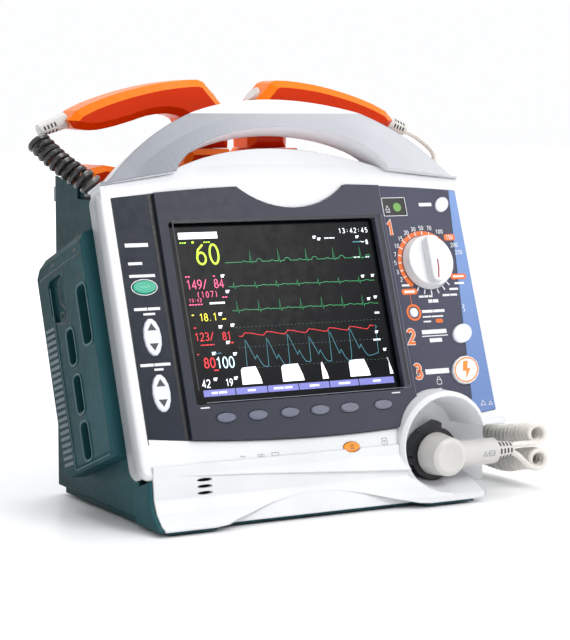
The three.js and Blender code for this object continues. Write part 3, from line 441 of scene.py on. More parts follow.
def finish_mesh(name, mesh, material):
    """Turns a bmesh into a shown object with smooth shading up to an angle."""
    bmesh.ops.recalc_face_normals(mesh, faces=mesh.faces[:])
    for edge in mesh.edges:
        edge.smooth = edge.calc_face_angle(0.0) < SMOOTH_UP_TO
    for face in mesh.faces:
        face.smooth = True
    data = bpy.data.meshes.new(name)
    mesh.to_mesh(data)
    mesh.free()
    data.materials.append(material)
    piece = bpy.data.objects.new(name, data)
    bpy.context.scene.collection.objects.link(piece)
    return piece


def arc(x, y, half_width, half_height, start, end, steps=12):
    """Points on an ellipse between two angles in degrees."""
    turns = [math.radians(start + (end - start) * i / steps) for i in range(steps + 1)]
    return [(x + half_width * math.cos(a), y + half_height * math.sin(a)) for a in turns]


def rounded(x0, y0, x1, y1, radius):
    """Outline of a box with round corners."""
    return (
        arc(x1 - radius, y1 - radius, radius, radius, 0, 90, 4)
        + arc(x0 + radius, y1 - radius, radius, radius, 90, 180, 4)
        + arc(x0 + radius, y0 + radius, radius, radius, 180, 270, 4)
        + arc(x1 - radius, y0 + radius, radius, radius, 270, 360, 4)
    )


# Strokes of each sign in a box one high and about 0.6 wide.
SIGNS = {
    "0": [arc(0.3, 0.5, 0.24, 0.5, 90, 450, 18)],
    "1": [[(0.14, 0.78), (0.34, 1.0), (0.34, 0.0)]],
    "2": [arc(0.3, 0.72, 0.24, 0.28, 165, -40) + [(0.05, 0.0), (0.56, 0.0)]],
    "3": [arc(0.28, 0.75, 0.22, 0.25, 150, -85, 9) + arc(0.28, 0.26, 0.26, 0.26, 85, -150, 9)],
    "4": [[(0.42, 0.0), (0.42, 1.0), (0.04, 0.28), (0.58, 0.28)]],
    "5": [[(0.52, 1.0), (0.14, 1.0), (0.1, 0.56)] + arc(0.29, 0.31, 0.26, 0.31, 125, -140)],
    "6": [arc(0.3, 0.3, 0.24, 0.3, 0, 360, 14), [(0.06, 0.34), (0.16, 0.74), (0.46, 1.0)]],
    "7": [[(0.04, 1.0), (0.56, 1.0), (0.24, 0.0)]],
    "8": [arc(0.3, 0.75, 0.2, 0.25, 0, 360, 14), arc(0.3, 0.26, 0.24, 0.26, 0, 360, 14)],
    "9": [arc(0.3, 0.7, 0.24, 0.3, 0, 360, 14), [(0.54, 0.66), (0.44, 0.26), (0.14, 0.0)]],
    "/": [[(0.04, -0.05), (0.5, 1.05)]],
    "(": [arc(0.62, 0.5, 0.34, 0.66, 130, 230, 8)],
    ")": [arc(0.0, 0.5, 0.34, 0.66, 50, -50, 8)],
    ":": [[(0.28, 0.24), (0.28, 0.36)], [(0.28, 0.66), (0.28, 0.78)]],
    ".": [[(0.22, 0.0), (0.22, 0.1)]],
    " ": [],
}
SUNK = 0.04  # how far a print reaches into its surface, in mm


def strip(mesh, rings):
    """Joins rings of corners, one after another, and closes both ends."""
    bridge(mesh, zip(rings, rings[1:]))
    mesh.faces.new(rings[0])
    mesh.faces.new(rings[-1])


def bridge(mesh, pairs):
    """Faces between the two rings of each pair."""
    for ring, following in pairs:
        count = len(ring)
        for k in range(count):
            j = (k + 1) % count
            mesh.faces.new((ring[k], ring[j], following[j], following[k]))


class Print:
    """Ink or light on a flat surface: thin closed slabs drawn in the surface's own mm."""

    def __init__(self, surface, thickness=0.12):
        self.surface = surface
        self.low = -SUNK
        self.high = thickness
        self.mesh = bmesh.new()

    def corner(self, x, y, height):
        return self.mesh.verts.new(self.surface @ Vector((x, y, height)))

    def fill(self, outline):
        """A slab with this outline."""
        low = [self.corner(x, y, self.low) for x, y in outline]
        high = [self.corner(x, y, self.high) for x, y in outline]
        self.mesh.faces.new(low)
        self.mesh.faces.new(high)
        count = len(outline)
        for i in range(count):
            j = (i + 1) % count
            self.mesh.faces.new((low[i], low[j], high[j], high[i]))

    def line(self, points, width):
        """A ribbon along the points."""
        spots = [Vector(p) for p in points]
        before = [None, *spots[:-1]]
        after = [*spots[1:], None]
        strip(self.mesh, [self.ribbon_ring(*ends, width / 2) for ends in zip(before, spots, after)])

    def loop(self, points, width):
        """A ribbon round the points, the last of which may repeat the first."""
        spots = [Vector(p) for p in points]
        if (spots[0] - spots[-1]).length < 1e-6:
            spots.pop()
        before = spots[-1:] + spots[:-1]
        after = spots[1:] + spots[:1]
        rings = [self.ribbon_ring(*ends, width / 2) for ends in zip(before, spots, after)]
        bridge(self.mesh, zip(rings, rings[1:] + rings[:1]))

    def ribbon_ring(self, before, spot, after, half):
        """The ribbon's four corners at a point, mitred between the stretches before and after it."""
        into = (spot - before).normalized() if before is not None else None
        out = (after - spot).normalized() if after is not None else into
        into = into if into is not None else out
        across = Vector((-(into + out).y, (into + out).x))
        across = across.normalized() if across.length > 1e-6 else Vector((-into.y, into.x))
        reach = half / max(0.5, across.dot(Vector((-into.y, into.x))))
        left = spot + across * reach
        right = spot - across * reach
        return [
            self.corner(left.x, left.y, self.low),
            self.corner(right.x, right.y, self.low),
            self.corner(right.x, right.y, self.high),
            self.corner(left.x, left.y, self.high),
        ]

    def bar(self, x0, y0, x1, y1):
        self.fill([(x0, y0), (x1, y0), (x1, y1), (x0, y1)])

    def write(self, signs, x, y, height, weight, pitch=0.72, squeeze=1.0, centred=False):
        """Numbers with their lower left corner, or their middle, at a point."""
        step = height * pitch * squeeze
        if centred:
            x -= step * len(signs) / 2 - 0.06 * height * squeeze
            y -= height / 2
        for i, sign in enumerate(signs):
            for stroke in SIGNS[sign]:
                spots = [(x + i * step + u * height * squeeze, y + v * height) for u, v in stroke]
                draw = self.loop if stroke[0] == stroke[-1] else self.line
                draw(spots, weight)

    def done(self, name, material, body="case"):
        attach(finish_mesh(name, self.mesh, material), body)


def on_front(depth):
    """The face at a depth, with across, up and outward as its three directions."""
    turned = Matrix(((1, 0, 0, 0), (0, 0, -1, depth), (0, 1, 0, 0), (0, 0, 0, 1)))
    return FACE @ turned


def front_of(node):
    """Depth of a node's foremost point behind the plane of the face, in mm."""
    unface = FACE.inverted()
    return min((unface @ vertex.co).y for vertex in NODES[node].data.vertices)


def print_on(node, thickness=0.12):
    """A print on the foremost surface of a node."""
    return Print(on_front(front_of(node)), thickness)


# ---------------- the display
# Lengths are mm from the middle of the screen. Each trace runs from TRACE_LEFT to TRACE_RIGHT.
GLASS_FRONT = on_front(front_of("display_glass")) @ Matrix.Translation(SCREEN)
TRACE_LEFT = -40.0
TRACE_RIGHT = 73.5
BEATS = [-20.2, 1.4, 22.9, 44.4, 65.8]  # places of the first trace's beats
SCALE_DASHES = 38  # dashes in each dim scale line
SMALL_BEATS = [-36.0, -19.8, -3.6, 12.6, 28.8, 45.0, 61.2]


def beat(x, base, rise, dip, tail):
    """One heartbeat of a trace: small wave, sharp peak, dip, broad wave."""
    return (
        arc(x - 5.2, base, 1.5, tail * 0.4, 180, 0, 4)
        + [(x - 1.1, base), (x - 0.6, base - 0.3 * dip), (x, base + rise)]
        + [(x + 0.7, base - dip), (x + 1.3, base)]
        + arc(x + 6.2, base, 2.2, tail, 180, 0, 6)
    )


def trace(beats, base, rise, dip, tail):
    points = [(TRACE_LEFT, base)]
    for x in beats:
        points += [p for p in beat(x, base, rise, dip, tail) if points[-1][0] < p[0] < TRACE_RIGHT]
    return points + [(TRACE_RIGHT, base)]


def pressure_wave():
    """Arterial trace: a quick rise and a slow fall at each beat."""
    points = [(TRACE_LEFT + 1.5, -16.6)]
    for x in SMALL_BEATS:
        points += [(x, -16.9), (x + 2.6, -14.4), (x + 4.4, -14.9), (x + 5.6, -14.8), (x + 13.5, -16.6)]
    return [p for p in points if p[0] < TRACE_RIGHT]


def flow_wave():
    """Pulse trace: steep peaks of uneven height with a notch on the way down."""
    points = []
    tops = (-19.6, -19.2, -17.2, -20.0, -16.8, -15.6, -14.6)
    lows = (-38.2, -38.8, -37.0, -37.6, -38.2, -35.6, -35.0)
    for x, top, low in zip(SMALL_BEATS[:6] + [66.5], tops, lows):
        shift = x + 1.4
        points += [
            (shift - 1.4, low + 1), (shift, top), (shift + 1.1, top - 1.6),
            (shift + 5.6, low + 5.5), (shift + 7.2, low + 8.2), (shift + 9.4, low + 3.2),
            (shift + 11.4, low + 0.4), (shift + 13.6, low),
        ]
    return [p for p in points if p[0] < TRACE_RIGHT]


def breath(x, width):
    """One filled breath of the gas trace."""
    base = -49.3
    lean = 2.2
    top = base + 11.6
    shoulder = min(1.6, width / 4)
    return [
        (x, base), (x + 0.3, top - 1.8), (x + shoulder, top - 0.3), (x + width / 2, top),
        (x + width - 1, top), (x + width + lean * 0.7, base + 4), (x + width + lean, base),
    ]


def tiny_signs(target, spots, size):
    """Little speckled blocks where the display has small symbols."""
    for x, y in spots:
        target.bar(x, y, x + size * 0.4, y + size)
        target.bar(x + size * 0.55, y, x + size, y + size * 0.42)
        target.bar(x + size * 0.55, y + size * 0.6, x + size * 1.35, y + size)


def dashes(target, x, y, lengths, height=0.8, gap=0.5):
    """A row of short bars that stands for a word."""
    for length in lengths:
        target.bar(x, y, x + length, y + height)
        x += length + gap


def build_display():
    """The lit figures and traces, one piece for each colour."""
    white = Print(GLASS_FRONT)
    white.bar(-71.3, 50.9, -42.4, 55.4)
    white.write("13:42:45", 51.8, 51.6, 3.3, 0.42, pitch=0.92)
    white.write("42", -70.9, -49.4, 5.0, 0.62, squeeze=0.9)
    white.write("19", -53.6, -49.4, 4.6, 0.55, squeeze=0.85)
    beside_figures = [
        (-44.6, 23.8), (-42.8, 13.0), (-50.8, -2.0), (-52.2, -10.6), (-43.2, -10.0), (-48.6, -21.4),
        (-60.2, -28.2), (-44.8, -29.4), (-62.0, -45.4), (-47.0, -45.6),
    ]
    tiny_signs(white, beside_figures, 2.1)
    beside_traces = [
        (30.5, 48.4), (34.0, 47.0), (64.6, 47.6), (63.6, 19.4), (65.2, 3.2), (71.6, 19.6), (70.8, 4.2),
        (66.8, -20.4), (70.8, -33.0),
    ]
    tiny_signs(white, beside_traces, 1.9)
    dashes(white, 39.6, 48.0, [1.4, 1.2, 0.6, 1.5, 1.2])
    dashes(white, 60.6, 33.6, [1.3, 0.9, 1.2])
    dashes(white, 70.0, 33.6, [1.2, 0.8])
    dashes(white, 69.2, -6.6, [1.0, 1.0, 1.0], 1.3, 0.3)
    dashes(white, -56.0, 6.0, [1.4, 1.2, 1.6, 1.0, 1.5, 1.4, 1.0], 1.3, 0.35)
    dashes(white, 64.4, -25.4, [1.2, 1.0, 1.4, 1.0], 1.2, 0.3)
    white.line([(66.4, 44.8), (68.0, 45.4), (69.6, 44.6), (71.0, 45.2)], 0.35)
    white.write("8", 72.0, 43.2, 3.0, 0.4)
    for x, width in [(-41.4, 12.6), (-11.0, 14.2), (19.6, 2.4), (41.4, 13.6), (73.0, 0.3)]:
        white.fill(breath(x, width))
    white.done("display_white", glow("lit_white", (0.92, 0.95, 1.0), 0.9))

    yellow_green = Print(GLASS_FRONT)
    yellow_green.write("60", -60.6, 33.4, 13.4, 1.35, pitch=0.74, squeeze=0.98)
    yellow_green.fill(arc(-61.4, 48.6, 0.9, 0.9, 0, 360, 8)[:-1])
    dashes(yellow_green, -71.0, 48.0, [1.3, 1.0, 1.2])
    dashes(yellow_green, -53.4, 48.0, [1.4, 1.0, 1.3])
    yellow_green.done("display_heart_rate", glow("lit_yellow_green", (0.46, 0.86, 0.02), 1.0))

    pink = Print(GLASS_FRONT)
    pink.write("149/", -70.9, 16.8, 6.0, 0.62, pitch=0.7, squeeze=0.95)
    pink.write("84", -50.6, 17.0, 5.8, 0.62, squeeze=0.95)
    pink.write("(107)", -64.6, 10.8, 3.9, 0.42, pitch=0.86)
    pink.write("13:42", -70.8, 8.0, 2.2, 0.3, pitch=0.9)
    dashes(pink, -71.2, 5.8, [1.8, 1.4, 1.6, 1.9, 1.2])
    dashes(pink, -70.9, 24.8, [1.2, 1.6])
    dashes(pink, -50.4, 24.6, [1.4])
    dashes(pink, -46.0, 10.0, [1.4, 1.8])
    pink.done("display_cuff_pressure", glow("lit_pink", (0.86, 0.1, 0.25), 0.8))

    yellow = Print(GLASS_FRONT)
    yellow.write("18.1", -65.2, -5.0, 4.8, 0.55, pitch=0.7)
    dashes(yellow, -70.6, -1.2, [1.6])
    dashes(yellow, -48.6, -4.8, [1.0, 1.2])
    yellow.done("display_temperature", glow("lit_yellow", (0.93, 0.83, 0.03), 0.9))

    red = Print(GLASS_FRONT)
    red.write("123/", -70.8, -18.2, 5.2, 0.6, pitch=0.72, squeeze=0.98)
    red.write("81", -50.6, -18.4, 5.0, 0.6, squeeze=0.98)
    red.write("80", -67.2, -36.4, 6.4, 0.85, squeeze=0.98)
    dashes(red, -67.4, -21.6, [0.7, 2.0, 2.4, 2.2, 0.7])
    dashes(red, -70.6, -9.8, [1.8])
    dashes(red, -71.0, -27.6, [1.2])
    dashes(red, -46.4, -21.0, [1.2, 1.6])
    dashes(red, -60.6, -38.8, [3.4])
    red.line(pressure_wave(), 0.42)
    red.done("display_artery_pressure", glow("lit_red", (0.72, 0.012, 0.02), 0.65))

    pale_cyan = Print(GLASS_FRONT)
    pale_cyan.write("100", -58.4, -37.2, 7.2, 0.8, pitch=0.68, squeeze=0.96)
    pale_cyan.done("display_oxygen", glow("lit_pale_cyan", (0.62, 0.9, 0.98), 0.9))

    green = Print(GLASS_FRONT)
    green.line(trace(BEATS, 33.8, 7.8, 1.0, 2.0), 0.36)
    green.line(trace(SMALL_BEATS, 17.2, 2.8, 1.6, 0.5), 0.36)
    green.line(trace(SMALL_BEATS, 0.8, 6.4, 1.7, 0.6), 0.36)
    green.done("display_heart_traces", glow("lit_green", (0.015, 0.27, 0.09), 0.55))

    teal = Print(GLASS_FRONT)
    teal.line(flow_wave(), 0.42)
    dashes(teal, 61.6, 44.6, [2.0, 1.4, 1.8, 0.7], 0.9, 0.2)
    dashes(teal, -58.0, -27.6, [1.8, 2.2], 0.7)
    teal.done("display_pulse_trace", glow("lit_teal", (0.025, 0.17, 0.22), 0.6))

    dim = Print(GLASS_FRONT)
    for level in (-10.8, -24.4, -38.6):
        for i in range(SCALE_DASHES):
            x = TRACE_LEFT + 3.0 * i
            dim.bar(x, level, x + 1.2, level + 0.25)
    dim.done("display_scale_lines", glow("lit_dim", (0.03, 0.1, 0.08), 0.3))

    tab = Print(GLASS_FRONT)
    word = Print(GLASS_FRONT, 0.2)
    edges = [-71.2, -47.4, -23.6, 0.2, 24.0, 47.0, 75.4]
    for x0, x1, words in zip(edges, edges[1:], [(3, 4), (4,), (5, 4), (5,), (6,), (4,)]):
        tab.bar(x0 + 0.3, -55.6, x1 - 0.4, -51.2)
        width = sum(words) + 0.8 * (len(words) - 1)
        dashes(word, (x0 + x1 - width * 1.5) / 2, -54.1, [length * 1.5 for length in words], 1.5, 0.8)
    tab.done("display_key_tabs", glow("lit_violet", (0.145, 0.15, 0.44), 0.75))
    word.done("display_key_words", glow("lit_pale_violet", (0.6, 0.62, 0.85), 0.8))


# ---------------- printed marks on the panels
def around_dial(radius, angle):
    """A point round the energy selector, at an angle clockwise from straight up."""
    turn = math.radians(angle)
    return (DIAL.x + radius * math.sin(turn), DIAL.z + radius * math.cos(turn))


DIAL_NUMBERS = [
    ("2", -116), ("3", -103), ("5", -88), ("7", -74), ("10", -59), ("15", -44), ("20", -28), ("30", -13),
    ("50", 2), ("70", 17), ("100", 35), ("200", 65), ("270", 77),
]
ORANGE_PATCHES = [
    (118.2, 43.0, 127.4, 47.6), (117.8, 14.4, 130.6, 18.4), (75.0, 5.0, 87.6, 9.2),
    (98.6, -16.2, 104.4, -13.4),
]
DIAL_NUMBER_RADIUS = 25.4  # mm, like the other distances here
DIAL_NUMBER_SPREAD = 0.055  # mm further out for each degree to the right of straight up
DIAL_TICKS = [angle for _, angle in DIAL_NUMBERS if angle < 60] + [50]
DIAL_MODE_TICKS = [-150, -165, 180, 165, 150, 136, 120, 66, 80]


def build_panel_marks():
    white = print_on("right_panel")
    for value, angle in DIAL_NUMBERS:
        x, z = around_dial(DIAL_NUMBER_RADIUS + max(0, angle) * DIAL_NUMBER_SPREAD, angle)
        white.write(value, x, z, 2.9, 0.42, pitch=0.74, centred=True)
    for angle in DIAL_MODE_TICKS:
        white.line([around_dial(19.8, angle), around_dial(23.2, angle)], 0.9)
    dashes(white, 88.2, 2.4, [4.0, 3.4, 3.0], 1.5)
    dashes(white, 95.4, -1.6, [3.4, 4.4], 2.4)
    dashes(white, 108.2, 2.6, [6.0, 5.6], 1.5)
    dashes(white, 114.8, 6.8, [7.2], 1.5)
    dashes(white, 120.0, 10.8, [8.0], 1.5)
    dashes(white, 76.0, 11.0, [6.4], 1.5)
    dashes(white, 88.6, -8.6, [9.0, 9.2], 2.0)
    dashes(white, 88.4, -12.0, [7.0, 9.4], 1.1)
    dashes(white, 88.4, -15.4, [6.2], 1.1)
    dashes(white, 102.2, 68.6, [10.6], 2.5)
    dashes(white, 85.4, -23.8, [20.4], 3.0)
    white.bar(85.0, -25.6, 106.4, -24.9)
    dashes(white, 90.6, -29.8, [10.2], 2.8)
    dashes(white, 82.4, -52.2, [19.6], 3.6)
    white.loop(rounded(72.0, 62.2, 91.0, 75.4, 0.6), 0.45)
    white.loop([(73.9, 66.6), (77.3, 66.6), (75.6, 69.6)], 0.35)
    dashes(white, 74.0, 64.8, [3.4], 0.6)
    for x, z in [(92.3, -57.6), (67.7, -66.6)]:
        white.loop(rounded(x - 1.8, z - 2.0, x + 1.8, z + 1.2, 0.4), 0.4)
        white.line(arc(x, z + 1.2, 1.2, 2.1, 0, 180, 8), 0.4)
    white.line(arc(86.0, -80.0, 20.0, 17.0, 62, 138, 10), 0.8)
    white.fill([(70.0, -66.6), (73.6, -65.4), (71.6, -69.8)])
    white.fill([(90.6, -62.4), (93.4, -62.4), (92.0, -65.4)])
    white.line([(123.4, -3.6), (124.6, -5.0), (123.2, -6.2), (124.6, -7.6), (123.4, -9.4)], 0.5)
    white.done("right_panel_marks", WHITE_INK)

    warm = print_on("right_panel", 0.16)
    warm.line([around_dial(21.6, angle) for angle in range(-138, 59, 6)], 3.2)
    for x0, z0, x1, z1 in ORANGE_PATCHES:
        warm.fill(rounded(x0, z0, x1, z1, 1.6 if z1 - z0 > 3 else 0.8))
    warm.line([(81.2, 5.0), (81.2, -2.0)], 0.4)
    warm.loop(arc(81.8, -7.9, 5.2, 5.2, 0, 360, 24), 1.5)
    warm.done("orange_marks", ORANGE_INK)

    notch = print_on("right_panel", 0.22)
    for angle in DIAL_TICKS:
        notch.line([around_dial(20.2, angle), around_dial(23.0, angle)], 0.7)
    notch.write("150", 122.6, 45.3, 2.9, 0.42, centred=True)
    dashes(notch, 119.6, 15.8, [9.2], 1.4)
    dashes(notch, 77.0, 6.2, [8.6], 1.8)
    notch.done("dial_ticks", PALE_INK)

    for value, x, z in [("1", 74.9, 52.9), ("2", 76.2, -24.8), ("3", 76.6, -49.6)]:
        halo = print_on("right_panel", 0.14)
        halo.write(value, x, z, 9.4, 2.9, centred=True)
        halo.done(f"step_{value}_outline", PALE_INK)
        core = print_on("right_panel", 0.24)
        core.write(value, x, z, 9.4, 1.9, centred=True)
        core.done(f"step_{value}", ORANGE_INK)

    left = print_on("left_panel")
    dashes(left, -129.2, 46.2, [16.6], 2.6)
    dashes(left, -128.8, 34.2, [10.0], 1.9)
    dashes(left, -129.4, 25.8, [18.4], 1.9)
    dashes(left, -129.6, 3.6, [9.4, 8.6], 1.9)
    dashes(left, -123.6, 0.4, [8.4], 1.5)
    dashes(left, -131.2, -33.4, [9.4, 11.4], 1.9)
    dashes(left, -121.8, -36.4, [6.4], 1.5)
    left.loop(arc(-119.9, 19.1, 9.2, 5.2, 0, 360, 32), 0.55)
    left.done("left_panel_marks", WHITE_INK)

    bezel = print_on("display_bezel")
    for x in (-91.8, 53.8):
        bezel.bar(x - 3.2, -64.0, x + 3.4, -63.2)
    bezel.done("bezel_marks", WHITE_INK)

    case = Print(on_front(0.0))
    case.line([(-70.6, -97.2), (-69.4, -96.4), (-68.0, -97.4), (-66.8, -96.8)], 0.45)
    case.loop(arc(-56.4, -97.2, 1.2, 0.9, 0, 360, 12), 0.4)
    case.line([(-55.2, -96.6), (-52.6, -96.6)], 0.4)
    case.line([(-55.2, -97.8), (-52.6, -97.8)], 0.4)
    case.loop(rounded(-47.2, -98.2, -42.0, -96.2, 0.6), 0.4)
    case.loop(rounded(38.0, -98.0, 42.0, -93.4, 0.4), 0.4)
    case.loop([(39.0, -95.0), (41.0, -95.0), (40.0, -96.6)], 0.35)
    case.done("case_marks", GREY_INK)

    stripe = print_on("edge_stripe")
    for x, size in [(125.2, 3.4), (131.4, 2.5)]:
        triangle = [(x - size * 0.6, -76.8), (x + size * 0.6, -76.8), (x, -76.8 + size)]
        stripe.loop(triangle, 0.35)
    stripe.done("stripe_marks", PALE_INK)


# ---------------- marks on the keys and the selector
SHOCK_KEY = (115.0, -51.2)
SHOCK_RIM_TURN = 0.45  # slant of the oval rim printed on the shock key, in radians


def build_key_marks():
    for name, x, z in [("rate_rocker", -119.8, -14.3), ("output_rocker", -119.6, -51.3)]:
        arrows = print_on(name)
        for way in (-1, 1):
            tip = z + way * 9.2
            arrows.fill([(x - 3.2, tip - way * 4.9), (x + 3.2, tip - way * 4.9), (x, tip)])
        arrows.done(f"{name}_arrows", DARK_INK, name)

    start = print_on("start_stop_key")
    squiggle = [
        (-123.2, 19.8), (-121.8, 18.6), (-120.4, 19.8), (-119.2, 18.4), (-117.6, 19.8), (-116.4, 18.8),
    ]
    start.line(squiggle, 0.4)
    start.done("start_stop_key_mark", ink("pale_green_ink", (0.2, 0.62, 0.45)), "start_stop_key")

    event = print_on("event_key")
    for z in (-98.6, -97.4, -96.2):
        event.bar(12.0, z - 0.25, 15.0, z + 0.25)
    event.done("event_key_mark", ink("brown_ink", (0.25, 0.08, 0.01)), "event_key")

    shock = print_on("shock_key")
    rim = arc(*SHOCK_KEY, 9.9, 8.0, 0, 360, 40)
    shock.loop([turned(p, SHOCK_KEY, SHOCK_RIM_TURN) for p in rim], 0.9)
    bolt = [(-1.4, 6.2), (2.4, 6.2), (0.8, 1.0), (3.6, 1.0), (-1.6, -6.6), (-0.2, -0.8), (-3.2, -0.8)]
    shock.fill([(SHOCK_KEY[0] + x, SHOCK_KEY[1] + z) for x, z in bolt])
    shock.done("shock_key_mark", ink("amber_ink", (0.85, 0.27, 0.02)), "shock_key")

    pointer = print_on("energy_dial")
    bend = [(0.8, -1.0), (0.4, -7.5), (-1.0, -14.2)]
    pointer.line([(DIAL.x + x, DIAL.z + z) for x, z in bend], 1.0)
    pointer.done("energy_dial_pointer", ink("crimson_ink", (0.35, 0.006, 0.03)), "energy_dial")

    lamp = print_on("indicator_window")
    lamp.fill(arc(84.0, 68.6, 3.2, 3.2, 0, 360, 20)[:-1])
    lamp.done("ready_lamp", glow("lamp_green", (0.12, 0.3, 0.06), 0.35))


def turned(point, about, angle):
    """A point of a plane turned about another."""
    x, y = point[0] - about[0], point[1] - about[1]
    return (
        about[0] + x * math.cos(angle) - y * math.sin(angle),
        about[1] + x * math.sin(angle) + y * math.cos(angle),
    )


# ---------------- painted shadows and highlights at the edges of the panels
BEZEL_RIGHT = 70.3


def build_painted_panel_edges():
    # Painted shadow: a black strip beside the bezel's left edge, where its raised side wall is in shade,
    # and a thin dark line at the panel's left edge.
    shadow_lines = print_on("left_panel", 0.1)
    shadow_lines.bar(-107.6, -83.0, -104.6, 81.8)
    shadow_lines.bar(-134.2, -84.0, -133.6, 79.6)
    shadow_lines.done("bezel_step_shadow", ink("painted_shadow_black", (0.003, 0.004, 0.006)))

    # Painted shade: dark bars along the top, right and left walls of the screen's recess.
    recess_shade = print_on("display_bezel", 0.1)
    recess_shade.bar(-94.6, 60.6, 65.2, 62.8)
    recess_shade.bar(64.6, -58.4, 66.8, 62.8)
    recess_shade.bar(-94.6, -52.0, -93.6, 60.6)
    recess_shade.done("bezel_recess_shade", ink("recess_shade_black", (0.006, 0.008, 0.013)))

    # Painted highlights: pale lines along the lower edge of the screen's recess, its right edge and the
    # bezel's right edge.
    rim_highlight = print_on("display_bezel", 0.1)
    rim_highlight.line([(-90.0, -60.4), (-20.0, -60.6), (66.0, -60.4)], 0.45)
    rim_highlight.line([(66.8, -60.4), (67.6, 62.8)], 0.35)
    rim_highlight.line([(BEZEL_RIGHT - 0.5, -80.0), (BEZEL_RIGHT - 0.5, 83.0)], 0.35)
    rim_highlight.done("bezel_edge_lights", ink("highlight_lavender", (0.16, 0.165, 0.22)))


# ---------------- connector block on the left side
# Places are depth behind the face and height up it, in mm, on the block's outer wall.
POD_OUTER = -152.7
# Each socket's middle depth, half width, lower end and upper end.
POD_SOCKETS = [(26, 6.8, -9.5, 29), (54, 5.6, -17, 6), (53.2, 5.6, -50, -25.5), (52.5, 5.8, -81, -57)]
POD_WALL = FACE @ Matrix(((0, 0, -1, POD_OUTER), (1, 0, 0, 0), (0, 1, 0, 0), (0, 0, 0, 1)))
RIB_COUNT = 22
RIBS_LOW = -80.0
RIBS_HIGH = 16.0
POD_LATCH = [
    (46.0, 51.0), (49.5, 50.0), (50.5, 45.0), (56.0, 42.5), (61.0, 40.0), (62.0, 35.0), (61.5, 26.0),
    (57.5, 23.0), (54.0, 20.0), (53.0, 14.5), (57.5, 12.5), (66.0, 13.0), (76.0, 16.0), (79.5, 22.0),
]


def build_pod_details():
    ribs = Print(POD_WALL, 0.7)
    for i in range(RIB_COUNT):
        base = RIBS_LOW + i * (RIBS_HIGH - RIBS_LOW) / RIB_COUNT
        ribs.fill([(77.5, base), (93.0, base + 0.8), (93.0, base + 3.0), (77.5, base + 2.4)])
    ribs.done("pod_ribs", RIB)

    rims = Print(POD_WALL, 0.5)
    for depth, half, low, high in POD_SOCKETS:
        rim = rounded(depth - half - 1.0, low - 1.0, depth + half + 1.0, high + 1.0, 4.6)
        rims.loop(rim, 1.3)
    rims.line([(18.0, -84.5), (75.0, -84.5)], 0.8)
    rims.line([(75.8, -84.0), (75.8, 40.0)], 0.9)
    rims.line([(18.5, 49.6), (90.0, 49.6)], 0.6)
    rims.done("pod_socket_rims", POD_EDGE)

    lines = Print(POD_WALL, 0.12)
    lines.line([(17.0, 48.6), (92.0, 48.6)], 0.7)
    lines.line([(76.9, -84.0), (76.9, 14.0)], 0.7)
    lines.line(POD_LATCH, 1.1)
    lines.loop(arc(62.0, 17.5, 3.4, 2.6, 0, 360, 16), 0.9)
    lines.fill(rounded(63.0, 52.5, 69.0, 55.0, 1.0))
    lines.fill(rounded(24.0, 52.0, 30.0, 54.5, 1.0))
    lines.fill(arc(20.0, 59.0, 1.5, 2.2, 0, 360, 12)[:-1])
    for depth, half, low, high in POD_SOCKETS:
        for row in (0, 1):
            y = high + 4.0 + row * 2.4
            for k in range(3):
                lines.bar(depth - 4.0 + k * 3.2, y, depth - 2.2 + k * 3.2, y + 1.4)
    lines.done("pod_lines", ink("pod_shadow", (0.002, 0.008, 0.010)))


# ---------------- slots of the strain reliefs, dark with painted shade
SLOT_HALF_TURN = 17  # degrees round the relief from a slot's middle to its end
SLOT_STEPS = 4


def relief_slots(name, start, end, radii, turns_at, columns, body):
    """Dark slots of painted shade pressed into a tapered strain relief, in columns along it and rows around
    it.
    """
    start, end = Vector(start), Vector(end)
    axis = (end - start).normalized()
    front = Vector((0, -1, 0))
    front = (front - axis * front.dot(axis)).normalized()
    side = axis.cross(front)
    mesh = bmesh.new()
    length = (end - start).length
    for column in range(columns):
        low = length * (column + 0.28) / columns
        high = length * (column + 0.72) / columns
        for middle in turns_at:
            rings = []
            for i in range(SLOT_STEPS + 1):
                turn = math.radians(middle - SLOT_HALF_TURN + 2 * SLOT_HALF_TURN * i / SLOT_STEPS)
                around = math.cos(turn) * front + math.sin(turn) * side
                ring = []
                for along, proud in ((low, -0.4), (high, -0.4), (high, 0.12), (low, 0.12)):  # mm
                    radius = radii[0] + (radii[1] - radii[0]) * along / length + proud
                    ring.append(mesh.verts.new(place(*(start + axis * along + around * radius))))
                rings.append(ring)
            strip(mesh, rings)
    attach(finish_mesh(name, mesh, SLOT), body)


PADDLES_MIDDLE = -8.9  # the plane midway between the two paddles
RELIEF_OUT = 136.0  # from there to the start of each paddle's relief
RELIEF_DROOP = 0.36  # slope of the relief, in radians


def build_relief_slots():
    relief_slots(
        "plug_relief_slots", (132.0, -30.5, 30.5), (144.5, -30.5, 30.5), (6.5, 5.1), (-52, 0, 52), 4, "case"
    )
    for side, sign in (("left", -1), ("right", 1)):
        centre = Vector((PADDLES_MIDDLE + sign * RELIEF_OUT, 97, 256.5))
        along = Vector((sign * math.cos(RELIEF_DROOP), 0, -math.sin(RELIEF_DROOP)))
        relief_slots(
            f"{side}_paddle_relief_slots", centre - along * 2.0, centre + along * 8.5, (5.0, 4.4),
            (-48, 10), 4, f"{side}_paddle",
        )


PLUG_SIDE = Matrix(((1, 0, 0, 121.0), (0, 0, -1, -39.55), (0, 1, 0, 30.5), (0, 0, 0, 1)))


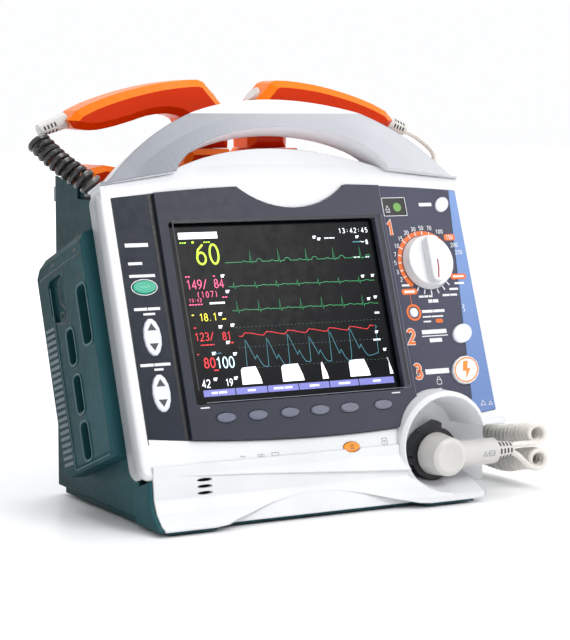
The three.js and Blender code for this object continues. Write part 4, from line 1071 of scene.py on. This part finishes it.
def build_plug_marks():
    mark = Print(Matrix.Translation(SHIFT * MM) @ Matrix.Scale(MM, 4) @ PLUG_SIDE, 0.15)
    mark.loop([(-4.6, -1.6), (-1.6, -1.6), (-3.1, 1.4)], 0.4)
    mark.loop(rounded(0.2, -1.8, 4.6, 1.6, 0.5), 0.4)
    mark.line([(-0.8, -0.1), (5.6, -0.1)], 0.35)
    mark.done("plug_marks", GREY_INK)


build_display()
build_panel_marks()
build_key_marks()
build_painted_panel_edges()
build_pod_details()
build_relief_slots()
build_plug_marks()

# ---------------- cords
WIRE = 4.2 * MM  # diameter of the cord itself
COIL = 16.6 * MM  # outside diameter of its curls
CORD_SIDES = 8
LEAD_STEP = 1.5 * MM  # between points of a lead's line
AXIS_STEP = 2 * MM
CURL_POINTS = 14  # points of the line in each turn

# Each coil's axis runs from its plug's lead to its paddle. All are mm in the layout.
LEFT_LEAD = [(146.4, -30.5, 32.7), (151, -31.2, 33.2), (158, -32.6, 33.3), (168, -32.6, 33.3)]
LEFT_COIL = [
    (168, -32.6, 39.5), (168, -27, 39.5), (168, -12, 37), (168, 10, 33.5), (166, 31, 37), (161.5, 47, 50),
    (156.5, 57, 74), (154.5, 61, 108), (154.5, 62, 150), (153.8, 61.9, 184), (149.5, 61.9, 197.5),
    (140, 61.9, 204.2), (126, 61.9, 204.2), (80, 61.9, 203.9), (0, 61.9, 203.9), (-80, 61.9, 203.9),
    (-108, 61.6, 205), (-124, 61.2, 210.5), (-134, 62.4, 219), (-142, 69, 225.5), (-150, 80, 234.5),
    (-158.4, 93.6, 247),
]
LEFT_END = (-154, 96.4, 252)  # inside the end of its paddle's relief
RIGHT_LEAD = [
    (146.6, -30.5, 28), (151, -31.3, 25.6), (156.5, -32.6, 20.4), (161, -32.9, 16.8),
    (165.5, -32.9, 15.2), (169, -32.9, 15.1),
]
RIGHT_COIL = [
    (169, -32.9, 21.3), (169, -27, 21.3), (169, -12, 18.5), (169, 8, 14.5), (168, 36, 17), (163.5, 61, 28),
    (158, 79, 55), (155.5, 86.5, 92), (155.5, 88, 140), (157.5, 88, 190), (158.5, 88, 228),
]
RIGHT_PADDLE_LEAD = [
    (158.5, 88, 228), (158.3, 89, 235), (154.5, 92.5, 241.5), (146.5, 96, 248), (137.4, 97, 252.5),
]
LAST_CURLS = 26 * MM  # stretch of axis over which the curls close in on it
LAST_PITCH = 46 * MM  # and the distance between turns that they reach there


def smooth_path(points, step):
    """Points about a step apart on a Catmull-Rom curve through the given ones."""
    points = [Vector(p) for p in points]
    padded = [2 * points[0] - points[1], *points, 2 * points[-1] - points[-2]]
    dense = []
    for a, b, c, d in zip(padded, padded[1:], padded[2:], padded[3:]):
        count = max(2, math.ceil((c - b).length / step * 4))
        for i in range(count):
            t = i / count
            square = (2 * a - 5 * b + 4 * c - d) * t**2
            cube = (3 * b - 3 * c + d - a) * t**3
            dense.append(0.5 * (2 * b + (c - a) * t + square + cube))
    dense.append(points[-1])
    return evenly(dense, step)


def evenly(points, step):
    """The same line with its points a step apart."""
    lengths = [0.0]
    for a, b in zip(points, points[1:]):
        lengths.append(lengths[-1] + (b - a).length)
    count = max(2, round(lengths[-1] / step))
    found = []
    at = 0
    for i in range(count + 1):
        target = lengths[-1] * i / count
        while at < len(points) - 2 and lengths[at + 1] < target:
            at += 1
        share = (target - lengths[at]) / max(1e-12, lengths[at + 1] - lengths[at])
        found.append(points[at].lerp(points[at + 1], min(1.0, share)))
    return found


def frames_along(points):
    """Two directions square to the line at each point, carried along it without twist."""
    tangents = [(b - a).normalized() for a, b in zip(points, points[1:])]
    tangents.append(tangents[-1])
    side = tangents[0].orthogonal().normalized()
    found = []
    for tangent in tangents:
        side = (side - tangent * side.dot(tangent)).normalized()
        found.append((side, tangent.cross(side)))
    return found


def helix(axis, pitch_at, radius, lead, end):
    """Curls about an axis line, carrying on from a lead that meets the first one edge on.

    pitch_at gives the distance between turns at a share of the axis's length. The last curl
    passes through the point end, or without one the curls close in on the axis.
    """
    frames = frames_along(axis)
    total = line_length(axis)
    lengths = []
    openness = []  # 1 at full curls, and less as they close in
    length = 0.0
    while length < total:
        lengths.append(length)
        openness.append(1.0 if end else min(1.0, (total - length) / LAST_CURLS))
        pitch = openness[-1] * pitch_at(length / total) + (1 - openness[-1]) * LAST_PITCH
        length += pitch / CURL_POINTS
    first = angle_about(lead[-1] - axis[0], *frames[0])
    side, up = frames[0]
    ahead = up * math.cos(first) - side * math.sin(first)
    step = math.copysign(2 * math.pi / CURL_POINTS, ahead.dot(lead[-1] - lead[-2]))
    if end:
        steps = len(lengths) - 1
        short = angle_about(end - axis[-1], *frames[-1]) - first - step * steps
        step += math.remainder(short, 2 * math.pi) / steps
    spacing = total / (len(axis) - 1)
    found = []
    for i, (length, left) in enumerate(zip(lengths, openness)):
        place_on = min(len(axis) - 2, int(length / spacing))
        share = length / spacing - place_on
        centre = axis[place_on].lerp(axis[place_on + 1], share)
        side = frames[place_on][0].lerp(frames[place_on + 1][0], share)
        up = frames[place_on][1].lerp(frames[place_on + 1][1], share)
        angle = first + i * step
        reach = radius * left * left * (3 - 2 * left)
        found.append(centre + reach * (math.cos(angle) * side + math.sin(angle) * up))
    return found


def angle_about(out, side, up):
    """Direction of a vector, as an angle from side towards up."""
    return math.atan2(out.dot(up), out.dot(side))


def line_length(points):
    return sum((b - a).length for a, b in zip(points, points[1:]))


def tube(name, points, diameter, sides, material):
    """A closed round tube along a line."""
    frames = frames_along(points)
    rings = []
    mesh = bmesh.new()
    turns = [2 * math.pi * k / sides for k in range(sides)]
    for centre, (side, up) in zip(points, frames):
        around = [math.cos(turn) * side + math.sin(turn) * up for turn in turns]
        rings.append([mesh.verts.new(centre + diameter / 2 * way) for way in around])
    strip(mesh, rings)
    return finish_mesh(name, mesh, material)


def curly(coil, pitch_at, lead, end=None):
    """The curls along a coil's axis, from its plug's lead on."""
    axis = smooth_path([place(*p) for p in coil], AXIS_STEP)
    return helix(axis, pitch_at, (COIL - WIRE) / 2, lead, end)


def add_cord(name, line, replaced, material):
    piece = tube(name, line, WIRE, CORD_SIDES, material)
    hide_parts(*replaced)
    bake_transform(piece)


def left_pitch(share):
    """Distance between the left cord's turns: close at both ends, drawn out behind the hump."""
    if share < 0.22:
        return 4.7 * MM
    return 5.2 * MM if share > 0.85 else 10.5 * MM


def lead_line(lead):
    return smooth_path([place(*p) for p in lead], LEAD_STEP)


left_lead = lead_line(LEFT_LEAD)
left_line = left_lead[:-1] + curly(LEFT_COIL, left_pitch, left_lead, place(*LEFT_END))
right_lead = lead_line(RIGHT_LEAD)
right_line = right_lead[:-1] + curly(RIGHT_COIL, lambda share: 4.4 * MM, right_lead)
right_line += lead_line(RIGHT_PADDLE_LEAD)
add_cord(
    "left_paddle_cord", left_line, ["left_cord", "left_lead"],
    LEFT_JACKET,
)
add_cord(
    "right_paddle_cord", right_line,
    ["right_cord", "right_lead", "right_paddle_lead"],
    CORD,
)
